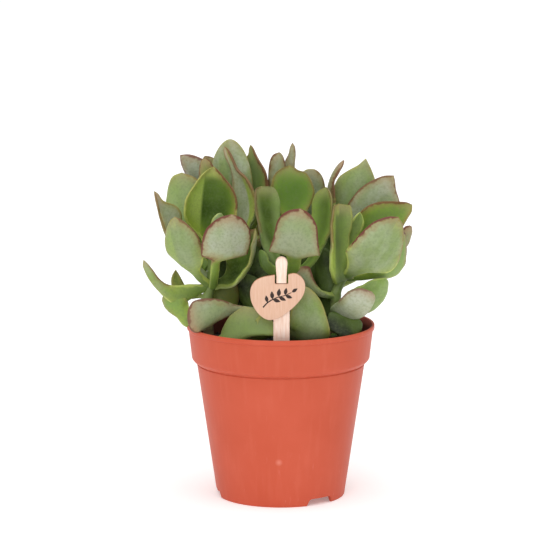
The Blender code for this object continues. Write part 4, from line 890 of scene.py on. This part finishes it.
def leaf_points(row, share, across, above):
    """The leaf's skin at shares along it, from margin to margin across it, and above or below its middle surface."""
    centre, side, normal, length = midrib(row, leaf_base(row), share)
    half = np.where(across > 0, half_widths(row, share), half_widths(row, share, "right"))
    right_cup = row["cup"] if row["cup_right"] is None else row["cup_right"]
    bend = np.radians(np.where(across > 0, row["cup"], right_cup)) * np.clip(share / CUP_OPENS, CUP_OPENS, 1)
    out = half * np.sin(bend * across) / bend

    # The margins' ripples, the blade's swellings and the tip's hook lift the middle surface
    fade = np.sin(np.pi * share) ** 0.7 * np.clip((share - RIPPLES_START) / 0.25, 0, 1)
    turn = 2 * np.pi * MARGIN_RIPPLES * share + np.where(across > 0, SECOND_MARGIN, 0)
    ripple = row["wave"] * np.abs(across) ** 2.2 * fade * np.sin(turn)
    finer = row["wave"] / 4 * np.abs(across) ** 3 * fade * np.sin(FINE_RIPPLES * turn + row["node"])
    swelling = SWELLING * fade * np.sin(0.42 * out + 0.9 * row["node"]) * np.sin(7.5 * share + row["node"])
    hook = row["hook"] * np.clip((share - HOOK_STARTS) / (1 - HOOK_STARTS), 0, 1) ** 2
    lift = half * (1 - np.cos(bend * across)) / bend + ripple + finer + swelling - hook
    for edge, middle, height, reach in row["ripples"]:
        lift += height * np.clip(edge * across, 0, 1) ** 2 * np.exp(-(((share - middle) / reach) ** 2))

    # The stalk's shift at the fold, and the horns below it
    if row["stalk_shift"]:
        start, end = row["left"][0][0], row["left"][1][0]
        shift = np.clip(np.minimum(share / start, (end - share) / (end - start)), 0, 1)
        centre = centre + side * (row["stalk_shift"] * shift)[:, None]
    if row["horns"]:
        corner, tip = ends(row)
        start = row["left"][1][0]
        droop = row["horns"] * np.clip((np.abs(across) - 0.45) / 0.55, 0, 1) ** 1.5
        centre = centre - unit(tip - corner) * (droop * np.exp(-(((share - start - 0.02) / 0.05) ** 2)))[:, None]

    upward = normal * np.cos(bend * across)[:, None] - side * np.sin(bend * across)[:, None]
    thick = row["thick"] * (1.25 - 0.75 * share**1.2) * np.sqrt(np.clip((1 - share) / TIP_CLOSES, 0, 1))
    skin = centre + side * out[:, None] + normal * lift[:, None] + upward * (thick / 2 * above)[:, None]
    return skin, half, length


def from_margins(row, flat_x, flat_y, length):
    """Distance to the nearer margin, on the leaf laid flat."""
    shares = np.linspace(0, 1, MARGIN_STEPS)
    return np.minimum(*(
        np.hypot(flat_x[:, None] - sign * half_widths(row, shares, hand), flat_y[:, None] - length * shares).min(axis=1)
        for hand, sign in (("left", 1), ("right", -1))))


def green_stalk(row, share):
    """How green the outer face is: all of the stalk below a fold, or fading out along the leaf."""
    if row["flank"] == 0:
        return 0 * share
    if row["fold"]:
        return np.clip((row["left"][0][0] + 0.05 - share) / 0.03, 0, 1)
    return 0.7 * np.clip((row["green_to"] - share) / 0.2, 0, 1)


def make_leaf(row, number):
    """A ball whose rings become the leaf's sections from stalk to tip, and whose segments go round each section."""
    start_clean()
    bpy.ops.mesh.primitive_uv_sphere_add(segments=LEAF_SEGMENTS, ring_count=LEAF_RINGS, radius=1)
    piece = bpy.context.object
    ball = vertex_places(piece)
    share = np.clip((1 + ball[:, 2]) / 2, 0, 1)
    turn = np.arctan2(ball[:, 1], ball[:, 0])
    between_poles = np.abs(ball[:, 2]) <= 1 - 1e-6
    across = np.cos(turn) * between_poles
    above = np.sign(np.sin(turn)) * np.abs(np.sin(turn)) ** EDGE_ROUNDNESS * between_poles
    skin, half, length = leaf_points(row, share, across, above)
    move_vertices(piece, skin)

    flat_x, flat_y = half * across, length * share
    from_margin = from_margins(row, flat_x, flat_y, length)
    from_margin *= np.clip(4 / np.maximum(half, 1), 1, 3)  # a narrow part has a finer line at its margin
    stalk = green_stalk(row, share)
    outside, inside, green = (np.array(linear(TINTS[tint])) for tint in (row["outside"], row["inside"], "stalk"))
    for name, *columns in (  # what leaf_skin_material reads
        ("leaf_flat", flat_x, flat_y, 17.0 * number),
        ("leaf_place", from_margin, share, above),
        ("leaf_mood", row["flank"], row["blush"], row["bloom"] * (1 - stalk)),
        # the painted shade of the hollow, and where the painted light on the flanks starts
        ("leaf_hollow", row["hollow"], *row["lit"]),
        ("leaf_rim", *row["rim"], 0),
    ):
        store(piece, name, "FLOAT_VECTOR", np.column_stack([column + 0 * share for column in columns]))
    store(piece, "outer_tint", "FLOAT_COLOR", outside + stalk[:, None] * (green - outside))
    store(piece, "inner_tint", "FLOAT_COLOR", np.tile(inside, (len(skin), 1)))
    outward(piece)
    pick(piece)
    bpy.ops.object.shade_smooth()
    slot = "leaf_silver" if row["outside"] in ("pale", "frosted", "silver") else "leaf_green"
    if row in LEAVES:
        dress(piece, "jade_" + row["name"], LEAF_SKIN, slot, row["name"])
    else:
        dress(piece, row["name"], LEAF_SKIN, slot)


for number, row in enumerate(LEAVES + INNER_LEAVES):
    make_leaf(row, number)

# ---------------------------------------------------------------- stems

STEM_SIDES = 24
STEM_RINGS = 46
BUD_HEIGHT = 2.5
SEAT_SWELL = 0.13  # how much thicker a stem is where leaves sit, as a share of its radius
SEAT_REACH = 1.3  # how far that goes up and down
STEM_TAPER = 0.1


def make_stem(name):
    """A disc extruded along the stem's axis, a little thicker at each leaf's seat, and closed in a bud."""
    nodes = [row["node"] for row in LEAVES if row["stem"] == name]
    foot, top = STEMS[name][0][2], STEMS[name][-1][2]
    stations = []
    for height in np.linspace(foot, top - BUD_HEIGHT, STEM_RINGS)[1:]:
        swell = SEAT_SWELL * max(math.exp(-(((height - node) / SEAT_REACH) ** 2)) for node in nodes)
        stations.append((height, 1 + swell - STEM_TAPER * (height - foot) / (top - foot)))
    stations += [
        (top - BUD_HEIGHT * (1 - math.sin(angle)), math.cos(angle)) for angle in np.linspace(0.35, 1.45, 5)]
    radius = stem_radius(name)
    piece = draw_out(
        STEM_SIDES, stem_at(name, foot), radius, [(stem_at(name, height), radius * size) for height, size in stations])
    outward(piece)
    settle(piece)
    shade(piece, 60)
    dress(piece, "woody_stem_" + name, STEM_BARK, "stem_bark", "stem_" + name)


for name in STEMS:
    make_stem(name)

# ---------------------------------------------------------------- pot

POT_SIDES = 144
POT_RINGS = (  # radius and height, from the middle of the floor's top, up the inside, over the lip and down to the foot
    (6, 4.7), (17, 4.7), (27.6, 4.7), (29.2, 5.0), (30.0, 6.2), (38.95, 64.3), (39.6, 65.6), (40.7, 66.8),
    (41.35, 68.2), (42.6, 79.6), (43.2, 81.4), (43.6, 82.6), (43.8, 83.1), (44.2, 83.36), (44.5, 83.4),
    (44.8, 83.25), (44.97, 82.9), (45.0, 82.4), (45.0, 81.6), (44.9, 81.2), (44.6, 80.95), (44.25, 80.85),
    (44.2, 80.6), (44.15, 80.0), (42.75, 67.8), (42.68, 67.2), (42.45, 66.7), (42.05, 66.15), (41.5, 65.6),
    (41.0, 65.2), (40.7, 65.05), (40.52, 64.95), (40.1, 64.8), (39.98, 64.5), (40.08, 64.2), (40.27, 64.1), (31.5, 5.0),
    (31.35, 4.0), (31.25, 3.4), (30.85, 0.6), (30.75, 0.25), (30.5, 0.05), (30.2, 0.0), (29.5, 0.0),
    (29.25, 0.1), (29.15, 0.4), (28.9, 3.2), (28.7, 3.5), (27, 3.5), (17, 3.5), (6, 3.5),
)
NOTCHES = (38, 158, 278)  # degrees round the pot, from the label side towards +X
NOTCH_SIZE = (12.6, 12, 8.8)
NOTCH_PLACE = (30.8, -1.0)  # out from the axis, and up
NOTCH_FLARE = 1.5  # how much wider the notch is at the floor, where the foot's corners are cut back
NOTCH_ROUNDING = 1.2
HOLES = 6  # drain holes in a ring, besides the one in the middle
HOLE_RING = 18
HOLE_TURN = 28
HOLE_RADIUS = 3
HOLE_CUT = (4.1, 6)  # height and depth of the cutter
# The line that the inner wall lies inside of: heights and radii
WALL_HEIGHTS, WALL_RADII = (5, 64.3, 68.2, 82), (30.2, 39.5, 41.9, 43.8)
# Where the painted shade and peat dirt on the inner wall ends, and over how many millimetres it fades
PEAT_AND_SHADE_TOP, PEAT_AND_SHADE_FADE = 82.4, 3.2


def carve_notch(pot, degrees):
    angle = math.radians(degrees)
    out, up = NOTCH_PLACE
    start_clean()
    bpy.ops.mesh.primitive_cube_add(size=1, location=(0, 0, 0))
    cutter = bpy.context.object
    cutter.dimensions = Vector(NOTCH_SIZE) * MM
    settle(cutter)
    points = vertex_places(cutter) / MM
    points[:, 0] *= np.where(points[:, 2] < 0, NOTCH_FLARE, 1)
    move_vertices(cutter, points)
    apply(cutter, "BEVEL", width=NOTCH_ROUNDING * MM, segments=5, limit_method="ANGLE")
    cutter.location = Vector((out * math.sin(angle), -out * math.cos(angle), up)) * MM
    cutter.rotation_euler.z = angle
    combine(pot, cutter, "DIFFERENCE")


def drill_hole(pot, out, degrees):
    angle = math.radians(degrees)
    height, depth = HOLE_CUT
    start_clean()
    bpy.ops.mesh.primitive_cylinder_add(
        vertices=40, radius=HOLE_RADIUS * MM, depth=depth * MM,
        location=Vector((out * math.sin(angle), -out * math.cos(angle), height)) * MM)
    combine(pot, bpy.context.object, "DIFFERENCE")


def mark_inner_wall(pot):
    """1 on the wall inside the pot, fading out just under the lip, where the pot's finish paints shade and peat dirt.
    """
    x, y, height = vertex_places(pot).T / MM
    inside = (np.hypot(x, y) < np.interp(height, WALL_HEIGHTS, WALL_RADII)) & (height > WALL_HEIGHTS[0])
    store(pot, "inner_wall", "FLOAT", inside * np.clip((PEAT_AND_SHADE_TOP - height) / PEAT_AND_SHADE_FADE, 0, 1))


def make_pot():
    """A disc drawn up the inner wall, over the lip and down to the foot, then cut for drainage."""
    (radius, height), *rings = POT_RINGS
    pot = draw_out(POT_SIDES, (0, 0, height), radius, [((0, 0, high), wide) for wide, high in rings])
    settle(pot)
    outward(pot)
    for degrees in NOTCHES:
        carve_notch(pot, degrees)
    drill_hole(pot, 0, 0)
    for i in range(HOLES):
        drill_hole(pot, HOLE_RING, HOLE_TURN + 360 / HOLES * i)
    outward(pot, CLOSE / 2)
    mark_inner_wall(pot)
    shade(pot, 32)
    dress(pot, "nursery_pot", POT_PLASTIC, "pot_plastic", "pot")


make_pot()

# ---------------------------------------------------------------- potting mix

SOIL_TOP = 73.6
SOIL_RADIUS = 41.3
SOIL_DEPTH = 9
SOIL_TAPER = 0.93  # as wide at the bottom as the pot is there
SOIL_GRID = 110
CRUMBS = 420
CRUMB_SIZES = (0.35, 1.15)
CRUMB_REACH = 41


def soil_height(x, y):
    """Lumps of three sizes, above or below the soil's top."""
    broad = 0.7 * np.sin(0.31 * x + 0.5) * np.cos(0.27 * y - 0.4)
    small = 0.28 * np.sin(0.9 * x + 0.6 * y) * np.sin(1.1 * y - 0.5 * x + 1)
    return broad + small + 0.12 * np.sin(2.3 * x) * np.sin(2.1 * y + 1)


def make_soil():
    """A fine grid drawn in to a round, lumpy, whose edge drops to the pot's wall, and its sides below."""
    start_clean()
    bpy.ops.mesh.primitive_grid_add(x_subdivisions=SOIL_GRID, y_subdivisions=SOIL_GRID, size=2, location=(0, 0, 0))
    piece = bpy.context.object
    x, y, _ = vertex_places(piece).T
    reach = np.maximum(np.abs(x), np.abs(y))
    away = np.hypot(x, y)
    scale = np.where(away > 0, reach / np.maximum(away, 1e-9), 0) * SOIL_RADIUS
    x, y = x * scale, y * scale
    edge = np.clip((reach - 0.9) / 0.1, 0, 1)
    height = SOIL_TOP + soil_height(x, y) * (1 - 0.6 * edge) - 1.2 * edge**2
    move_vertices(piece, np.column_stack([x, y, height]))
    start_editing()
    extrude((0, 0, -SOIL_DEPTH))
    bpy.ops.transform.resize(value=(SOIL_TAPER, SOIL_TAPER, 1))
    bpy.ops.object.mode_set(mode="OBJECT")
    outward(piece)
    shade(piece, 50)
    dress(piece, "potting_mix", POTTING_MIX, "potting_soil", "soil")


def make_crumbs():
    """One rough crumb, copied over the potting mix in many sizes and turns."""
    rng = np.random.default_rng(7)
    start_clean()
    bpy.ops.mesh.primitive_ico_sphere_add(subdivisions=1, radius=1)
    first = bpy.context.object
    rough = vertex_places(first) * rng.uniform(0.75, 1.2, (12, 1)) * (1.2, 0.8, 0.6)
    move_vertices(first, rough / MM)
    crumbs = []
    for _ in range(CRUMBS):
        angle = rng.uniform(0, 2 * math.pi)
        away = CRUMB_REACH * math.sqrt(rng.uniform(0, 1))
        x, y = away * math.cos(angle), away * math.sin(angle)
        size = rng.uniform(*CRUMB_SIZES)
        sunk = 0.9 * (away / CRUMB_REACH) ** 8 - 0.15 * size
        crumb = first.copy()
        crumb.data = first.data.copy()
        bpy.context.collection.objects.link(crumb)
        crumb.location = Vector((x, y, SOIL_TOP + float(soil_height(x, y)) - sunk)) * MM
        crumb.rotation_euler = rng.uniform(0, 6.28, 3)
        crumb.scale = (size * MM,) * 3
        crumbs.append(crumb)
    bpy.data.objects.remove(first, do_unlink=True)
    piece = join(crumbs)
    settle(piece)
    shade(piece, 60)
    dress(piece, "soil_crumbs", POTTING_MIX, "potting_soil")


make_soil()
make_crumbs()

# ---------------------------------------------------------------- wooden label

LABEL_FOOT = (0.3, -34.2, 44.0)
LABEL_LEAN = 6.2  # degrees that the label leans back
STICK_SIDE = (  # the stick's right side, across and up
    (0.8, 0), (3.8, 7), (3.8, 54), (2.35, 65), (2.35, 70.3), (2.75, 76.6), (2.54, 77.7), (1.94, 78.6), (1.05, 79.2),
)
STICK_TIP = (0, 79.4)
STICK_DEPTH = (-0.6, 0.6)
HEAD_FOOT = (2.35, 67.1)  # where the thicker head starts, on the right
HEAD_DEPTH = (-2.5, 0.0)
PLATE_OUTLINE = (
    (-3.05, 71.1), (-9.0, 69.9), (-12.6, 67.8), (-14.5, 63.8), (-14.2, 58.6), (-12.2, 54.2), (-9.4, 50.9),
    (-6.0, 49.2), (-1.8, 49.9), (2.0, 52.2), (6.9, 56.7), (10.2, 61.4), (11.0, 66.4),
    (9.3, 70.0), (6.2, 71.8), (3.05, 71.3),
)
PLATE_SLOT = [(3.05, 66.8), (-3.05, 66.8)]  # the foot of the slot that the head lies in
PLATE_DEPTH = (-2.2, -0.9)
BURN_DEPTH = 0.04
# The sprig: a bent stalk with leaves in pairs
SPRIG_STALK = ((-8.6, 55.4), (-6.6, 57.6), (-4.2, 59.2), (-1.4, 60.4), (1.6, 61.2), (4.6, 62.6))
SPRIG_STALK_WIDTHS = (0.34, 0.16)
SPRIG_LEAVES = (  # across, up, turn in degrees, length
    (-6.6, 57.6, 100, 3.4), (-4.2, 59.2, -15, 3.6), (-4.2, 59.2, 95, 3.8), (-1.4, 60.4, -25, 3.6),
    (-1.4, 60.4, 85, 3.9), (1.6, 61.2, -20, 3.4), (1.6, 61.2, 80, 3.5), (4.6, 62.6, 35, 3.2),
)
SPRIG_LEAF_WIDTH = 0.24  # as a share of the length, on each side
SPRIG_LEAF_GAP = 0.3  # from the stalk's middle


def both_sides(half, middle):
    """An outline from its right side, going up, and the point between the sides."""
    return (*half, middle, *((-x, z) for x, z in reversed(half)))


def smooth_path(corners, steps=6):
    """Points on a Catmull-Rom curve through the corners, keeping the first and the last."""
    corners = [np.array(corner, float) for corner in corners]
    guides = [2 * corners[0] - corners[1], *corners, 2 * corners[-1] - corners[-2]]
    path = []
    for a, b, c, d in zip(guides, guides[1:], guides[2:], guides[3:]):
        for i in range(steps):
            t = i / steps
            path.append(b + 0.5 * t * ((c - a) + t * (2 * a - 5 * b + 4 * c - d + t * (3 * b - a - 3 * c + d))))
    return path + [corners[-1]]


def saw_out(outline, depth, ease):
    """A flat piece of wood with eased edges."""
    piece = cut_slab(outline, *depth)
    apply(piece, "BEVEL", width=ease * MM, segments=2, limit_method="ANGLE", angle_limit=math.radians(50))
    return piece


def stand_on_label(piece):
    piece.location = Vector(LABEL_FOOT) * MM
    piece.rotation_euler.x = math.radians(LABEL_LEAN)
    settle(piece)


def finish_wood(piece, *finish):
    """Stores 1 on the faces that the saw made and 0 on the flat ones, and stands the piece in the pot."""
    store(piece, "cut_edge", "FLOAT", [abs(face.normal.y) < 0.5 for face in piece.data.polygons], "FACE")
    stand_on_label(piece)
    shade(piece, 35)
    dress(piece, *finish)


def make_label():
    stick = saw_out(both_sides(STICK_SIDE, STICK_TIP), STICK_DEPTH, 0.25)
    head = saw_out(both_sides((HEAD_FOOT, *STICK_SIDE[4:]), STICK_TIP), HEAD_DEPTH, 0.3)
    combine(stick, head, "UNION")
    finish_wood(stick, "label_pick", STICK_WOOD, "stick_wood", "label_stick")
    plate = saw_out(smooth_path(PLATE_OUTLINE) + PLATE_SLOT, PLATE_DEPTH, 0.28)
    finish_wood(plate, "sawn_plate", PLATE_WOOD, "plate_wood", "label_disc")


def make_sprig():
    """The mark burnt into the plate: its stalk, then its leaves, joined to one piece."""
    path = np.array(smooth_path(SPRIG_STALK, 4))
    slope = unit(np.gradient(path, axis=0))
    half = np.linspace(*SPRIG_STALK_WIDTHS, len(path))[:, None]
    side = np.column_stack([-slope[:, 1], slope[:, 0]]) * half
    outlines = [[*(path + side), *(path - side)[::-1]]]
    t = np.linspace(0, 1, 12)[:, None]
    for x, z, turn, length in SPRIG_LEAVES:
        angle = math.radians(turn)
        ahead, left = np.array([math.cos(angle), math.sin(angle)]), np.array([-math.sin(angle), math.cos(angle)])
        spine = np.array([x, z]) + ahead * (SPRIG_LEAF_GAP + t * length)
        side = left * SPRIG_LEAF_WIDTH * length * np.sin(np.pi * t**0.85)
        outlines.append([*(spine + side), *(spine - side)[-2:0:-1]])
    front = PLATE_DEPTH[0]
    piece = join([cut_slab(outline, front, front - BURN_DEPTH) for outline in outlines])
    stand_on_label(piece)
    dress(piece, "burnt_sprig", CHARRED, "plate_wood")


make_label()
make_sprig()

# ---------------------------------------------------------------- studio

FLOOR_RADIUS = 9  # metres, as all of the studio
SOFTBOXES = (  # name, place, side, power
    ("softbox_above", (0.1, -0.9, 5.0), 9.0, 305),
    ("softbox_front", (-0.7, -3.6, 1.6), 2.4, 34),
)
SOFTBOX_AIM = (0, 0, 0.09)
ROOM_LIGHT = 0.42
WHITE = (1, 1, 1, 1)


def make_floor():
    """White paper: matt, and lit a little from below as well, as on a product table."""
    start_clean()
    bpy.ops.mesh.primitive_circle_add(vertices=96, radius=FLOOR_RADIUS, fill_type="NGON", location=(0, 0, 0))
    floor = bpy.context.object
    floor.name = "studio_floor"
    made, tree, shader = begin_material("white_paper_sweep")
    here = add(tree, "TexCoord", output="Object")
    cloud = add(tree, "TexNoise", {"Vector": here, "Scale": 3.0})
    colour = {FACTOR: cloud, FIRST: linear("#FEFEFE"), SECOND: linear("#FFFFFF")}
    fill(tree, shader, {
        "Base Color": add(tree, "Mix", colour, data_type="RGBA", output=MIXED),
        "Roughness": 0.9,
        "Specular IOR Level": 0.0,
        "Emission Color": WHITE,
        "Emission Strength": 0.2,
    })
    floor.data.materials.append(made)


def add_softbox(name, place, side, power):
    start_clean()
    bpy.ops.object.light_add(type="AREA", location=place)
    lamp = bpy.context.object
    lamp.name = name
    lamp.data.shape = "RECTANGLE"
    lamp.data.size = lamp.data.size_y = side
    lamp.data.energy = power
    lamp.rotation_euler = (Vector(SOFTBOX_AIM) - Vector(place)).to_track_quat("-Z", "Y").to_euler()


make_floor()
for softbox in SOFTBOXES:
    add_softbox(*softbox)
world = bpy.data.worlds.new("white_room")
bpy.context.scene.world = world
world.use_nodes = True
fill(world.node_tree, world.node_tree.nodes["Background"], {"Color": WHITE, "Strength": ROOM_LIGHT})
bpy.context.scene.view_settings.view_transform = "Standard"
